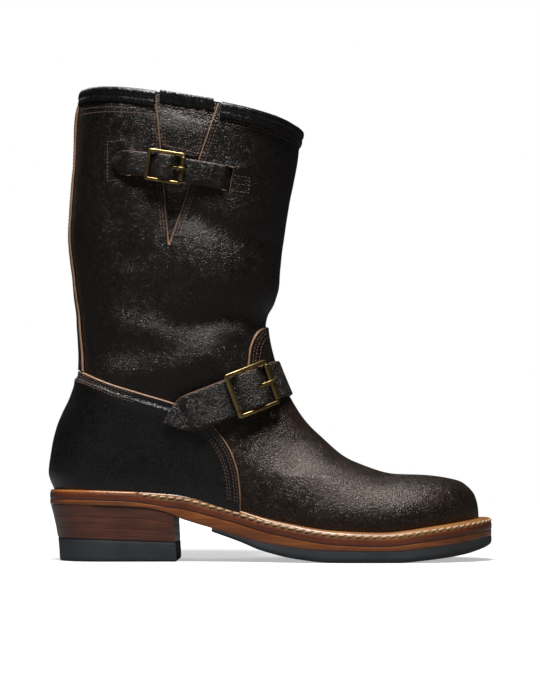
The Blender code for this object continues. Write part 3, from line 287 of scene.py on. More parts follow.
def side_point(x, z, lift=0.0, side=-1):
    """Point over one side of the last at a side view place, and its outward direction."""
    def plain(a, b):
        return np.stack([a, centre(a, b) + side * half_width(a, b, side < 0), b], axis=-1)
    x, z = np.broadcast_arrays(np.asarray(x, float), np.asarray(z, float))
    along = plain(x + 0.5, z) - plain(x - 0.5, z)
    upward = plain(x, z + 0.5) - plain(x, z - 0.5)
    normal = unit(np.cross(along, upward) * -side)
    return plain(x, z) + normal * np.asarray(lift)[..., None], normal


def shifted(curve_of, angle, outset):
    """Plan curve moved along its own outward direction."""
    ahead = curve_of(angle + 0.02) - curve_of(angle - 0.02)
    length = np.linalg.norm(ahead, axis=-1, keepdims=True)
    outward = np.stack([ahead[..., 1], -ahead[..., 0]], axis=-1) / length
    return curve_of(angle) + outward * outset


def sole_outline(angle, inset=0.0):
    """Plan outline of the sole, moved inwards by an inset."""
    def plain(a):
        rear = SOLE_LENGTH * SOLE_WIDTH["x"][0]
        fore = SOLE_LENGTH * SOLE_WIDTH["x"][-1]
        x = rear + (fore - rear) * (1 - np.cos(a)) / 2
        share = x / SOLE_LENGTH
        outer = np.sin(a) >= 0
        wide = np.where(outer, smooth(SOLE_WIDTH["x"], SOLE_WIDTH["outer"], share),
                        smooth(SOLE_WIDTH["x"], SOLE_WIDTH["inner"], share)) * BALL_WIDTH
        wide = wide * rounded(x - rear, 0.12 * SOLE_LENGTH, 2.1)
        wide = wide * rounded(fore - x, 0.205 * SOLE_LENGTH, 2.2)
        wide = np.where(np.abs(np.sin(a)) < 1e-7, 0.0, wide)
        return np.stack([x, centre(x, 0 * x) - np.where(outer, wide, -wide)], axis=-1)
    return shifted(plain, angle, -inset)


def last_outline(angle, outset=0.0):
    """Plan outline of the last at the feather line, moved outwards by an outset."""
    return shifted(lambda a: last(a, 0.0)[..., :2], angle, outset)


def welt_thickness(x):
    """The welt thins to the rand round the heel seat."""
    return RAND_THICKNESS + (WELT_THICKNESS - RAND_THICKNESS) * step01((x / SOLE_LENGTH - 0.03) / 0.10)


def midsole_top(x):
    return feather(x) - LAYER_GAP - welt_thickness(x) - SOLE_GAP


def midsole_bottom(x):
    return midsole_top(x) - MIDSOLE_THICKNESS


# Soft troughs and ridges of the leather, in millimetres in side view:
# side (-1 outer, 1 inner, 0 both), start x z, end x z, width, depth (below zero for a trough)
FOLDS = table(("side", "x0", "z0", "x1", "z1", "width", "depth"), (
    (-1, 54, 231, 98, 214, 8.5, -1.9),
    (-1, 46, 203, 94, 183, 19.0, 2.7),
    (-1, 40, 158, 80, 165, 8.0, -2.1),
    (-1, 6, 158, 32, 154, 10.0, 2.0),
    (-1, 6, 302, 84, 297, 21.0, 2.2),
    (-1, 6, 279, 12, 274, 2.6, 0.7),
    (-1, 78, 263.5, 86, 262, 2.6, 0.7),
    (-1, 2, 124, 60, 137, 11.0, 2.0),
    (-1, 76, 155, 94, 151, 6.0, 1.2),
    (-1, 2, 232, 10, 206, 9.0, -0.8),
    (-1, -8, 112, 40, 97, 6.0, -0.7),
    (-1, 4, 268, 24, 272, 7.0, -0.4),
    (1, 50, 236, 90, 222, 10.0, -1.3),
    (1, 20, 214, 64, 204, 12.0, 1.2),
    (1, 20, 178, 80, 166, 9.0, -1.8),
    (1, 6, 146, 64, 152, 10.0, 1.3),
    (1, 60, 186, 96, 178, 9.0, 0.8),
    (0, 98, 172, 108, 168, 5.0, -0.8),
    (0, 104, 190, 112, 186, 7.0, 0.5),
    (0, -34, 172, -22, 168, 7.0, -0.5),
    (-1, 116, 104, 134, 92, 6.0, -0.5),
    (-1, 96, 62, 120, 50, 12.0, 0.5),
    (-1, 140, 58, 190, 44, 14.0, 0.6),
    (-1, 126, 78, 150, 68, 8.0, -0.35),
    (1, 120, 84, 150, 66, 9.0, -0.6),
    (1, 138, 56, 186, 44, 14.0, 0.5),
    (0, 150, 70, 160, 60, 7.0, -0.25),
))
# Direction, wavelength and height of slow waves that keep large areas from lying dead smooth
WAVES = table(("x", "y", "z", "length", "height"), (
    (0.9, 0.3, 0.3, 61.0, 0.16), (0.2, 0.8, -0.6, 47.0, 0.14), (-0.5, 0.4, 0.8, 33.0, 0.10),
    (0.7, -0.6, 0.4, 23.0, 0.06), (0.3, 0.5, 0.8, 15.0, 0.035),
))


def folded(points, folds):
    """Height of listed folds at points of the leather."""
    x, y, z = points[..., 0], points[..., 1], points[..., 2]
    height = np.zeros(x.shape)
    for k in range(len(folds["x0"])):
        side = folds["side"][k]
        weight = 1.0 if side == 0 else step01(0.5 + side * y / 22.0)
        ahead = np.array([folds["x1"][k] - folds["x0"][k], folds["z1"][k] - folds["z0"][k]])
        length = np.hypot(*ahead)
        ahead = ahead / length
        run = (x - folds["x0"][k]) * ahead[0] + (z - folds["z0"][k]) * ahead[1]
        off = (z - folds["z0"][k]) * ahead[0] - (x - folds["x0"][k]) * ahead[1]
        off = off + 0.05 * length * np.sin(math.pi * run / length)
        over = np.maximum(np.maximum(-run, run - length), 0.0)
        width = folds["width"][k]
        height += weight * folds["depth"][k] * np.exp(-(off / width) ** 2 - (over / (1.3 * width)) ** 2)
    return height


def relief(points):
    """Height of folds and slow waves, fading out towards the welt."""
    x, y, z = points[..., 0], points[..., 1], points[..., 2]
    height = folded(points, FOLDS)
    for k in range(len(WAVES["x"])):
        phase = (x * WAVES["x"][k] + y * WAVES["y"][k] + z * WAVES["z"][k]) * 2 * math.pi / WAVES["length"][k]
        height += WAVES["height"][k] * np.sin(phase + 1.7 * k)
    return height * step01((z - feather(x) + 1.0) / 14.0)


# Mesh helpers
def piece(name, points, faces, finishes, replaced=(), kinds=None, crisp=40.0):
    """Named mesh from points in millimetres, with one finish for each kind of face."""
    mesh = bpy.data.meshes.new(name)
    mesh.from_pydata((np.asarray(points, float) * MILLIMETRE).tolist(), [], [tuple(f) for f in faces])
    form = bmesh.new()
    form.from_mesh(mesh)
    bmesh.ops.recalc_face_normals(form, faces=form.faces)
    form.to_mesh(mesh)
    form.free()
    for finish in finishes:
        mesh.materials.append(finish)
    if kinds is not None:
        mesh.polygons.foreach_set("material_index", np.asarray(kinds, np.int32))
    mesh.polygons.foreach_set("use_smooth", np.ones(len(mesh.polygons), bool))
    mesh.set_sharp_from_angle(angle=math.radians(crisp))
    thing = bpy.data.objects.new(name, mesh)
    bpy.context.scene.collection.objects.link(thing)
    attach(thing, "root")
    if replaced:
        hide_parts(*replaced)
    return thing


def stacked_rings(rings):
    """Solid through closed rings, with the two ends closed by strips across."""
    count = len(rings[0])
    points = [tuple(p) for ring in rings for p in ring]
    faces = []
    for row in range(len(rings) - 1):
        for i in range(count):
            j = (i + 1) % count
            faces.append((row * count + i, row * count + j, (row + 1) * count + j, (row + 1) * count + i))
    for base in (0, (len(rings) - 1) * count):
        faces.append((base, base + 1, base + count - 1))
        i = 1
        while i + 1 < count - i - 1:
            faces.append((base + i, base + i + 1, base + count - i - 1, base + count - i))
            i += 1
        if i + 1 == count - i - 1:
            faces.append((base + i, base + i + 1, base + i + 2))
    return points, faces


def looped(rings):
    """Hollow solid through closed rings, the last ring joined to the first."""
    count = len(rings[0])
    index = np.arange(len(rings) * count).reshape(len(rings), count)
    ahead = np.roll(index, -1, axis=1)
    faces = np.stack([index, ahead, np.roll(ahead, -1, axis=0), np.roll(index, -1, axis=0)], axis=-1)
    return np.concatenate(rings), faces.reshape(-1, 4)


RAW_STEPS = (0.3, 0.8)


def grid_quads(index):
    """Four-sided faces of a grid of points."""
    return np.stack([index[:-1, :-1], index[:-1, 1:], index[1:, 1:], index[1:, :-1]], axis=-1).reshape(-1, 4)


def rim_quads(line, shift):
    """Faces from an edge line of the upper skin to the same line of the lower skin."""
    return np.stack([line[:-1], line[1:], line[1:] + shift, line[:-1] + shift], axis=-1)


def sheet(over, under, cut=None, rims=(0, 0, 0, 0)):
    """Points, faces and finish numbers of a sheet with two skins, shut along its four edges."""
    rows, columns = over.shape[:2]
    index = np.arange(rows * columns).reshape(rows, columns)
    cut = np.zeros((rows - 1, columns - 1), int) if cut is None else cut
    faces = [grid_quads(index), grid_quads(index) + index.size]
    kinds = [cut.ravel(), np.full(cut.size, 2)]
    for kind, line in zip(rims, (index[0], index[-1], index[:, 0], index[:, -1])):
        faces.append(rim_quads(line, index.size))
        kinds.append(np.full(len(line) - 1, kind))
    points = np.concatenate([over.reshape(-1, 3), under.reshape(-1, 3)])
    return points, np.concatenate(faces), np.concatenate(kinds)


def with_edge(fields, axis, final):
    """Adds rows or columns close to an edge, and marks them."""
    fields = np.swapaxes(fields, 0, axis)
    if final:
        fields = fields[::-1]
    gap = np.linalg.norm(fields[1, :, :3] - fields[0, :, :3], axis=-1, keepdims=True)
    extra = []
    for away, drop in zip(RAW_STEPS, (0.38, 0.0)):
        share = np.minimum(away / np.maximum(gap, 1e-6), 0.45 + 0.4 * (drop == 0))
        row = fields[0] + (fields[1] - fields[0]) * share
        row[:, 7] = np.maximum(row[:, 7], drop)
        extra.append(row)
    first = fields[0].copy()
    first[:, 7] = np.maximum(first[:, 7], 1.0)
    fields = np.concatenate([first[None], np.array(extra), fields[1:]])
    if final:
        fields = fields[::-1]
    return np.swapaxes(fields, 0, axis)


EDGE_BEVEL = 0.75


def panel(name, base, normal, lift, wall, finishes, raw=(), replaced=(), rise=None):
    """Sheet of leather over the last. Cut edges are chamfered and take the second finish."""
    rows, columns = base.shape[:2]
    lift = np.broadcast_to(np.asarray(lift, float), (rows, columns))
    rise = np.zeros((rows, columns)) if rise is None else rise
    flat = np.zeros((rows, columns, 1))
    fields = np.concatenate([base, normal, lift[..., None], flat, rise[..., None]], axis=-1)
    for edge in raw:
        fields = with_edge(fields, 1 if edge in ("start", "final") else 0, edge in ("top", "final"))
    rows, columns = fields.shape[:2]
    base, normal = fields[..., :3], fields[..., 3:6]
    lift, drop, rise = fields[..., 6], fields[..., 7], fields[..., 8]
    over = base + normal * (lift + wall + relief(base) + rise - drop * EDGE_BEVEL * wall)[..., None]
    under = base + normal * (lift + relief(base) + rise)[..., None]
    cut = np.zeros((rows - 1, columns - 1), int)
    band = len(RAW_STEPS)
    for edge in raw:
        if edge == "foot":
            cut[:band] = 1
        elif edge == "top":
            cut[-band:] = 1
        elif edge == "start":
            cut[:, :band] = 1
        else:
            cut[:, -band:] = 1
    rims = [int(edge in raw) for edge in ("foot", "top", "start", "final")]
    points, faces, kinds = sheet(over, under, cut, rims)
    return piece(name, points, faces, finishes, replaced, kinds)


def stitching(name, lines, finish, length=1.9, pitch=2.7, radius=0.32, sink=0.1, slant=0.0):
    """Short threads along lines of points with outward directions."""
    around = np.arange(6) * math.pi / 3
    stations = ((-0.5, 0.45, -0.75), (-0.36, 0.92, -0.1), (0.36, 0.92, -0.1), (0.5, 0.45, -0.75))
    points = []
    faces = []
    for path, outward in lines:
        run = run_along(path)
        count = max(int(run[-1] / pitch), 1)
        places = (np.arange(count) + 0.5) * run[-1] / count
        spot = np.column_stack([np.interp(places, run, path[:, k]) for k in range(3)])
        ahead = np.column_stack([np.interp(places + 0.3, run, path[:, k]) for k in range(3)])
        ahead = ahead - np.column_stack([np.interp(places - 0.3, run, path[:, k]) for k in range(3)])
        normal = np.column_stack([np.interp(places, run, outward[:, k]) for k in range(3)])
        ahead = unit(ahead)
        normal = square_to(normal, ahead)
        across = np.cross(normal, ahead)
        turn = ahead * math.cos(slant) + across * math.sin(slant)
        across = np.cross(normal, turn)
        for s, t, n, a in zip(spot, turn, normal, across):
            base = len(points)
            for along, wide, dip in stations:
                middle = s + t * along * length + n * (dip - sink) * radius
                for angle in around:
                    points.append(middle + (a * math.cos(angle) + n * math.sin(angle)) * wide * radius)
            for ring in range(3):
                for i in range(6):
                    j = (i + 1) % 6
                    low = base + ring * 6
                    faces.append((low + i, low + j, low + 6 + j, low + 6 + i))
            faces.append(tuple(base + i for i in range(6)))
            faces.append(tuple(base + 18 + i for i in range(6)))
    return piece(name, points, faces, [finish], crisp=80.0)


# Finishes
class Finish:
    """Material built from named nodes."""

    def __init__(self, name):
        self.material = bpy.data.materials.new(name)
        self.material.use_nodes = True
        self.tree = self.material.node_tree
        self.shader = self.tree.nodes["Principled BSDF"]
        self.place = self.tree.nodes.new("ShaderNodeTexCoord").outputs["Object"]

    def node(self, kind, settings=None, **sockets):
        made = self.tree.nodes.new(kind)
        for key, value in (settings or {}).items():
            setattr(made, key, value)
        for key, value in sockets.items():
            self.join(made.inputs[int(key[1:]) if key[0] == "_" else key.replace("_", " ")], value)
        return made

    def join(self, socket, value):
        if isinstance(value, bpy.types.NodeSocket):
            self.tree.links.new(value, socket)
        elif isinstance(value, bpy.types.Node):
            self.tree.links.new(value.outputs[0], socket)
        else:
            socket.default_value = value

    def stretched(self, scale):
        return self.node("ShaderNodeMapping", Vector=self.place, Scale=scale)

    def noise(self, scale, detail=3.0, roughness=0.5, place=None):
        return self.node("ShaderNodeTexNoise", Vector=place or self.place, Scale=scale, Detail=detail,
                         Roughness=roughness)

    def cells(self, scale, feature="F1", place=None, smoothness=None):
        made = self.node("ShaderNodeTexVoronoi", {"feature": feature}, Vector=place or self.place,
                         Scale=scale)
        if smoothness is not None:
            made.inputs["Smoothness"].default_value = smoothness
        return made.outputs["Distance"]

    def between(self, value, low, high, out_low=0.0, out_high=1.0):
        return self.node("ShaderNodeMapRange", Value=value, From_Min=low, From_Max=high,
                         To_Min=out_low, To_Max=out_high)

    def maths(self, operation, a, b):
        return self.node("ShaderNodeMath", {"operation": operation}, _0=a, _1=b)

    def blend(self, share, a, b):
        made = self.node("ShaderNodeMix", {"data_type": "RGBA"})
        self.join(made.inputs[0], share)
        self.join(made.inputs[6], a)
        self.join(made.inputs[7], b)
        return made.outputs[2]

    def bump(self, height, distance, strength=1.0, under=None):
        made = self.node("ShaderNodeBump", Height=height, Distance=distance, Strength=strength)
        if under is not None:
            self.join(made.inputs["Normal"], under)
        return made

    def done(self, colour, roughness, normal=None, **constants):
        self.join(self.shader.inputs["Base Color"], colour)
        self.join(self.shader.inputs["Roughness"], roughness)
        if normal is not None:
            self.join(self.shader.inputs["Normal"], normal)
        for key, value in constants.items():
            self.shader.inputs[key.replace("_", " ")].default_value = value
        return self.material


def shade(red, green, blue):
    return (red, green, blue, 1.0)


def deeper(colour):
    """Colour at half its strength."""
    return shade(*(part * 0.5 for part in colour[:3]))


def pebbled_leather(name, dark, warm, painted_glint, gloss, pebble, coat, tint, warm_share=0.5):
    """Oiled leather with a fine pebbled grain, warmer in worn patches, with painted highlight specks on the
    grain.
    """
    f = Finish(name)
    patches = f.noise(28.0, 3.0, 0.6)
    fine = f.noise(1500.0, 2.0, 0.6)
    grain = f.cells(1050.0, "SMOOTH_F1", smoothness=0.3)
    small = f.cells(2100.0)
    drift = f.noise(260.0, 2.0, 0.5)
    share = f.between(patches, 0.36, 0.68, 0.0, warm_share)
    colour = f.blend(share, dark, warm)
    # Painted highlight: light specks where the fine noise peaks, standing in for light caught on the pebble
    # tops
    painted_glint_mask = f.maths("MULTIPLY", f.between(fine, 0.54, 0.66), f.between(drift, 0.35, 0.65, 0.35, 1.0))
    colour = f.blend(f.maths("MULTIPLY", painted_glint_mask, 0.8), colour, painted_glint)
    valley = f.between(grain, 0.35, 0.75)
    colour = f.blend(f.maths("MULTIPLY", valley, 0.35), colour, deeper(dark))
    rough = f.maths("ADD", f.between(fine, 0.3, 0.7, gloss - 0.07, gloss + 0.08),
                    f.between(patches, 0.3, 0.7, -0.04, 0.07))
    height = f.maths("ADD", f.maths("MULTIPLY", f.between(grain, 0.0, 0.8, 1.0, 0.0), 0.65),
                     f.maths("MULTIPLY", f.between(small, 0.0, 0.8, 1.0, 0.0), 0.35))
    soft = f.bump(f.noise(95.0, 3.0, 0.55), 0.0012, 0.35)
    normal = f.bump(f.maths("MULTIPLY", height, f.between(drift, 0.3, 0.7, 0.6, 1.0)), pebble, 1.0, soft)
    f.join(f.shader.inputs["Coat Normal"], normal)
    return f.done(colour, rough, normal, Coat_Weight=coat, Coat_Roughness=0.2, Specular_IOR_Level=0.42,
                  Specular_Tint=tint)


def cut_edge(name, colour, dark):
    """Cut edge of leather, fibrous."""
    f = Finish(name)
    fibres = f.noise(1400.0, 3.0, 0.6)
    tone = f.noise(170.0, 2.0, 0.5)
    mixed = f.blend(f.between(tone, 0.35, 0.7, 0.0, 0.55), colour, dark)
    mixed = f.blend(f.between(fibres, 0.4, 0.75, 0.0, 0.4), mixed, dark)
    return f.done(mixed, f.between(fibres, 0.3, 0.7, 0.5, 0.7), f.bump(fibres, 0.0002, 0.5))


def flesh_side(name, colour, dark):
    """Inner side of leather, with a short nap."""
    f = Finish(name)
    nap = f.noise(900.0, 4.0, 0.65)
    tone = f.noise(40.0, 3.0, 0.5)
    mixed = f.blend(f.between(tone, 0.3, 0.7), colour, dark)
    mixed = f.blend(f.between(nap, 0.45, 0.7, 0.0, 0.35), mixed, dark)
    return f.done(mixed, f.between(nap, 0.3, 0.7, 0.7, 0.85), f.bump(nap, 0.0003, 0.5), Sheen_Weight=0.15)


def waxed_edge(name, light, dark, streak, coat=0.5, across=16.0, along=1500.0, contrast=0.8):
    """Burnished edge of sole leather, streaked along its layers."""
    f = Finish(name)
    lines = f.noise(1.0, 4.0, 0.65, f.stretched((across, across, along)))
    wide = f.noise(1.0, 2.0, 0.5, f.stretched((across * 1.6, across * 1.6, along * 0.22)))
    tone = f.noise(38.0, 3.0, 0.55)
    mixed = f.blend(f.between(tone, 0.3, 0.7), light, dark)
    mixed = f.blend(f.between(wide, 0.42, 0.62, 0.0, contrast * 0.6), mixed, streak)
    mixed = f.blend(f.between(lines, 0.46, 0.66, 0.0, contrast), mixed, streak)
    normal = f.bump(lines, 0.00012, 0.5)
    return f.done(mixed, f.between(lines, 0.3, 0.7, 0.30, 0.46), normal, Coat_Weight=coat,
                  Coat_Roughness=0.25)


def rubber(name, colour, dark):
    """Smooth moulded rubber with dust in its pores."""
    f = Finish(name)
    pores = f.noise(1300.0, 3.0, 0.6)
    tone = f.noise(45.0, 3.0, 0.5)
    mixed = f.blend(f.between(tone, 0.35, 0.65), colour, dark)
    mixed = f.blend(f.between(pores, 0.55, 0.75, 0.0, 0.3), mixed, shade(0.11, 0.115, 0.12))
    return f.done(mixed, f.between(pores, 0.3, 0.7, 0.5, 0.68), f.bump(pores, 0.00025, 0.5))


def brass(name, light, dark):
    """Aged brass, browner where hands don't reach."""
    f = Finish(name)
    tone = f.noise(230.0, 3.0, 0.6)
    scratches = f.noise(1.0, 3.0, 0.6, f.stretched((250.0, 900.0, 2600.0)))
    specks = f.noise(1900.0, 2.0, 0.6)
    mixed = f.blend(f.between(tone, 0.35, 0.68), light, dark)
    mixed = f.blend(f.between(specks, 0.6, 0.75, 0.0, 0.5), mixed, deeper(dark))
    rough = f.maths("ADD", f.between(scratches, 0.3, 0.7, 0.24, 0.36), f.between(tone, 0.4, 0.7, 0.0, 0.12))
    return f.done(mixed, rough, f.bump(scratches, 0.00006, 0.5), Metallic=1.0)


def thread(name, colour, dark):
    """Twisted waxed thread."""
    f = Finish(name)
    twist = f.noise(2600.0, 2.0, 0.5)
    mixed = f.blend(f.between(twist, 0.4, 0.65), colour, dark)
    return f.done(mixed, f.between(twist, 0.3, 0.7, 0.4, 0.6), f.bump(twist, 0.00012, 0.6))


# The third colour of each leather is its painted highlight speck colour, brightest on the vamp and the instep
# strap
SHAFT_LEATHER = pebbled_leather("shaft_leather", shade(0.0030, 0.0024, 0.0021), shade(0.0075, 0.0045, 0.0033),
                                shade(0.050, 0.042, 0.036), 0.30, 0.00050, 0.10, shade(1.0, 0.93, 0.88))
COUNTER_LEATHER = pebbled_leather("counter_leather", shade(0.0028, 0.0024, 0.0022),
                                  shade(0.0055, 0.0038, 0.0031), shade(0.030, 0.026, 0.023), 0.27, 0.00028,
                                  0.30, shade(0.95, 0.97, 1.0))
VAMP_LEATHER = pebbled_leather("vamp_leather", shade(0.0042, 0.0025, 0.0020), shade(0.012, 0.0056, 0.0038),
                               shade(0.15, 0.098, 0.072), 0.28, 0.00042, 0.12, shade(1.0, 0.84, 0.74), 0.8)
STRAP_LEATHER = pebbled_leather("strap_leather", shade(0.0032, 0.0025, 0.0022), shade(0.009, 0.0052, 0.0038),
                                shade(0.045, 0.038, 0.033), 0.32, 0.00045, 0.05, shade(1.0, 0.95, 0.91))
INSTEP_LEATHER = pebbled_leather("instep_leather", shade(0.0060, 0.0050, 0.0046), shade(0.014, 0.010, 0.0085),
                                 shade(0.24, 0.215, 0.195), 0.28, 0.00080, 0.10, shade(1.0, 0.96, 0.93))
RAW_EDGE = cut_edge("raw_edge", shade(0.37, 0.21, 0.12), shade(0.15, 0.075, 0.042))
STRAP_EDGE = cut_edge("strap_edge", shade(0.19, 0.07, 0.035), shade(0.06, 0.022, 0.013))
FLESH = flesh_side("flesh_side", shade(0.20, 0.125, 0.075), shade(0.12, 0.07, 0.042))
WELT_FINISH = waxed_edge("welt_leather_waxed", shade(0.36, 0.165, 0.048), shade(0.26, 0.105, 0.028),
                         shade(0.16, 0.055, 0.016), 0.2, 30.0, 500.0, 0.45)
RAND_FINISH = waxed_edge("rand_leather_waxed", shade(0.47, 0.17, 0.04), shade(0.34, 0.11, 0.026),
                         shade(0.20, 0.06, 0.017), 0.35, 30.0, 700.0, 0.4)
MIDSOLE_FINISH = waxed_edge("midsole_leather_waxed", shade(0.21, 0.050, 0.014), shade(0.13, 0.029, 0.009),
                            shade(0.065, 0.015, 0.006), 0.35, 14.0, 900.0, 0.6)
OUTSOLE_FINISH = waxed_edge("outsole_leather_waxed", shade(0.36, 0.115, 0.026), shade(0.22, 0.060, 0.015),
                            shade(0.10, 0.025, 0.009), 0.35, 14.0, 1000.0, 0.7)
STACK_FINISH = waxed_edge("stack_leather_waxed", shade(0.20, 0.066, 0.034), shade(0.13, 0.038, 0.020),
                          shade(0.050, 0.016, 0.010), 0.25, 26.0, 2400.0, 0.8)
INSOLE_FINISH = flesh_side("insole_leather_plain", shade(0.36, 0.22, 0.12), shade(0.27, 0.16, 0.085))
RUBBER_FINISH = rubber("sole_rubber_moulded", shade(0.042, 0.047, 0.052), shade(0.028, 0.031, 0.035))
BRASS_FINISH = brass("aged_brass", shade(0.36, 0.27, 0.105), shade(0.19, 0.135, 0.055))
DARK_THREAD = thread("dark_thread", shade(0.030, 0.018, 0.013), shade(0.012, 0.008, 0.007))
BROWN_THREAD = thread("brown_thread", shade(0.18, 0.095, 0.068), shade(0.085, 0.042, 0.030))
CREAM_THREAD = thread("cream_thread", shade(0.60, 0.43, 0.29), shade(0.38, 0.24, 0.15))
LEATHER = [SHAFT_LEATHER, RAW_EDGE, FLESH]


def rounds(turn, shares):
    """Places and outward directions on the last, one row for each share."""
    base = np.array([last(turn, share) for share in shares])
    normal = np.array([last_normal(turn, share) for share in shares])
    return base, normal


def on_top(base, normal, lift):
    """Line laid on the leather at a lift over the last."""
    return base + normal * (np.asarray(lift) + relief(base))[..., None], normal


def vamp_and_quarters():
    """Vamp and quarters in one hollow wall."""
    count = 440
    turn = np.arange(count) * 2 * math.pi / count
    top = share_on(turn, upper_top)
    base, normal = rounds(turn, [top * s for s in np.linspace(0, 1, 92)])
    fields = np.concatenate([base, normal, np.zeros(base.shape[:2] + (3,))], axis=-1)
    fields = with_edge(fields, 0, True)
    base, normal, drop = fields[..., :3], fields[..., 3:6], fields[..., 7]
    base[0, :, 2] = feather(base[0, :, 0])
    bevel = EDGE_BEVEL * UPPER_WALL * drop
    outside = base + normal * (LAYER_GAP + UPPER_WALL + relief(base) - bevel)[..., None]
    base, normal = rounds(turn, [top * s for s in np.linspace(0, 1, 14)])
    base[0, :, 2] = feather(base[0, :, 0])
    inside = base + normal * (LAYER_GAP + relief(base))[..., None]
    rings = list(outside) + list(inside[::-1])
    points, faces = looped(rings)
    band = np.zeros(len(rings), int)
    band[len(outside) - 3:len(outside)] = 1
    band[len(outside):] = 2
    piece("vamp_and_quarters", points, faces, [VAMP_LEATHER, RAW_EDGE, FLESH], ("upper",),
          np.repeat(band, count))


COUNTER_LIFT = 2 * LAYER_GAP + UPPER_WALL + 0.15
COUNTER_OVERLAP = (COUNTER_TOP["z"][0] - UPPER_TOP["z"][0]) * BOOT_HEIGHT


def counter_lift(part):
    """Lift of the counter, which comes down onto the leg over the quarter's edge."""
    return LAYER_GAP + (COUNTER_LIFT - LAYER_GAP) * (1 - step01((part - 0.2) / 0.45))


def counter_rows():
    """Rows of the heel counter: share of the way to the quarter's top, side line, lift."""
    rows = [(s, 0.0, COUNTER_LIFT) for s in np.linspace(0, 1, 58)]
    for part in (0.1, 0.2, 0.3, 0.4, 0.5, 0.62, 0.74, 0.87, 1.0):
        rows.append((1.0, part, counter_lift(part)))
    return rows


def counter_line(part):
    return lambda x: upper_top(x) + part * (counter_top(x) - upper_top(x))


SCAN = np.linspace(0.2, 2.9, 400)


def scanned(rows, side):
    """Points of each row over one side, to look up where it meets an edge."""
    found = []
    for share, part, lift in rows:
        reach = share * share_on(side * SCAN, counter_line(part))
        found.append((reach, last(side * SCAN, reach), lift))
    return found


def counter_piece():
    """Heel counter laid over the quarters, its front edges cut along a side view line."""
    rows = counter_rows()
    grids = []
    lifts = []
    ends = []
    for side in (-1, 1):
        ends.append([float(np.interp(0.0, point[:, 0] - counter_front(point[:, 2]), SCAN))
                     for _, point, _ in scanned(rows, side)])
    for (share, part, lift), back, fore in zip(rows, *ends):
        turn = np.concatenate([np.linspace(-back, 0, 111)[:-1], np.linspace(0, fore, 111)])
        reach = share * share_on(turn, counter_line(part))
        grids.append((last(turn, reach), last_normal(turn, reach)))
        lifts.append(np.full(len(turn), lift))
    base = np.array([g[0] for g in grids])
    base[0, :, 2] = feather(base[0, :, 0])
    panel("heel_counter", base, np.array([g[1] for g in grids]), np.array(lifts), COUNTER_WALL,
          [COUNTER_LEATHER, RAW_EDGE, FLESH], ("top", "start", "final"), ("counter",))


def counter_stitches():
    """Rows under the top edge and behind the front edge of the counter."""
    lines = []
    for away in (1.9, 3.5, 5.7, 7.3):
        part = 1 - away / COUNTER_OVERLAP
        lift = counter_lift(part)
        turn = np.linspace(-1.19, 1.19, 240)
        share = share_on(turn, counter_line(part))
        base, normal = last(turn, share), last_normal(turn, share)
        keep = base[:, 0] < counter_front(base[:, 2]) - away - 0.6
        lines.append(on_top(base[keep], normal[keep], np.full(keep.sum(), lift + COUNTER_WALL)))
    rows = [row for row in counter_rows() if row[0] > 0.04]
    slope = lambda z: np.hypot(1.0, (counter_front(z + 1) - counter_front(z - 1)) / 2)
    for side in (-1, 1):
        found = scanned(rows, side)
        for away in (2.3, 4.0, 6.9, 8.6):
            base = []
            normal = []
            lift = []
            for reach, point, height in found:
                ahead = point[:, 0] - counter_front(point[:, 2]) + away * slope(point[:, 2])
                turn = float(np.interp(0.0, ahead, SCAN))
                share = float(np.interp(turn, SCAN, reach))
                base.append(last(side * turn, share))
                normal.append(last_normal(side * turn, share))
                lift.append(height + COUNTER_WALL)
            lines.append(on_top(np.array(base), np.array(normal), np.array(lift)))
    stitching("counter_stitching", lines, BROWN_THREAD, 1.7, 2.35, 0.33)


def notch_edges(z):
    """Left and right edge of the notch at a height."""
    height = np.maximum(z, NOTCH["low"] * BOOT_HEIGHT) / BOOT_HEIGHT
    share = (height - NOTCH["low"]) / (NOTCH["top"] - NOTCH["low"])
    left = NOTCH["tip"] + (NOTCH["left"] - NOTCH["tip"]) * share
    right = NOTCH["tip"] + (NOTCH["right"] - NOTCH["tip"]) * share
    return SOLE_LENGTH * left, SOLE_LENGTH * right


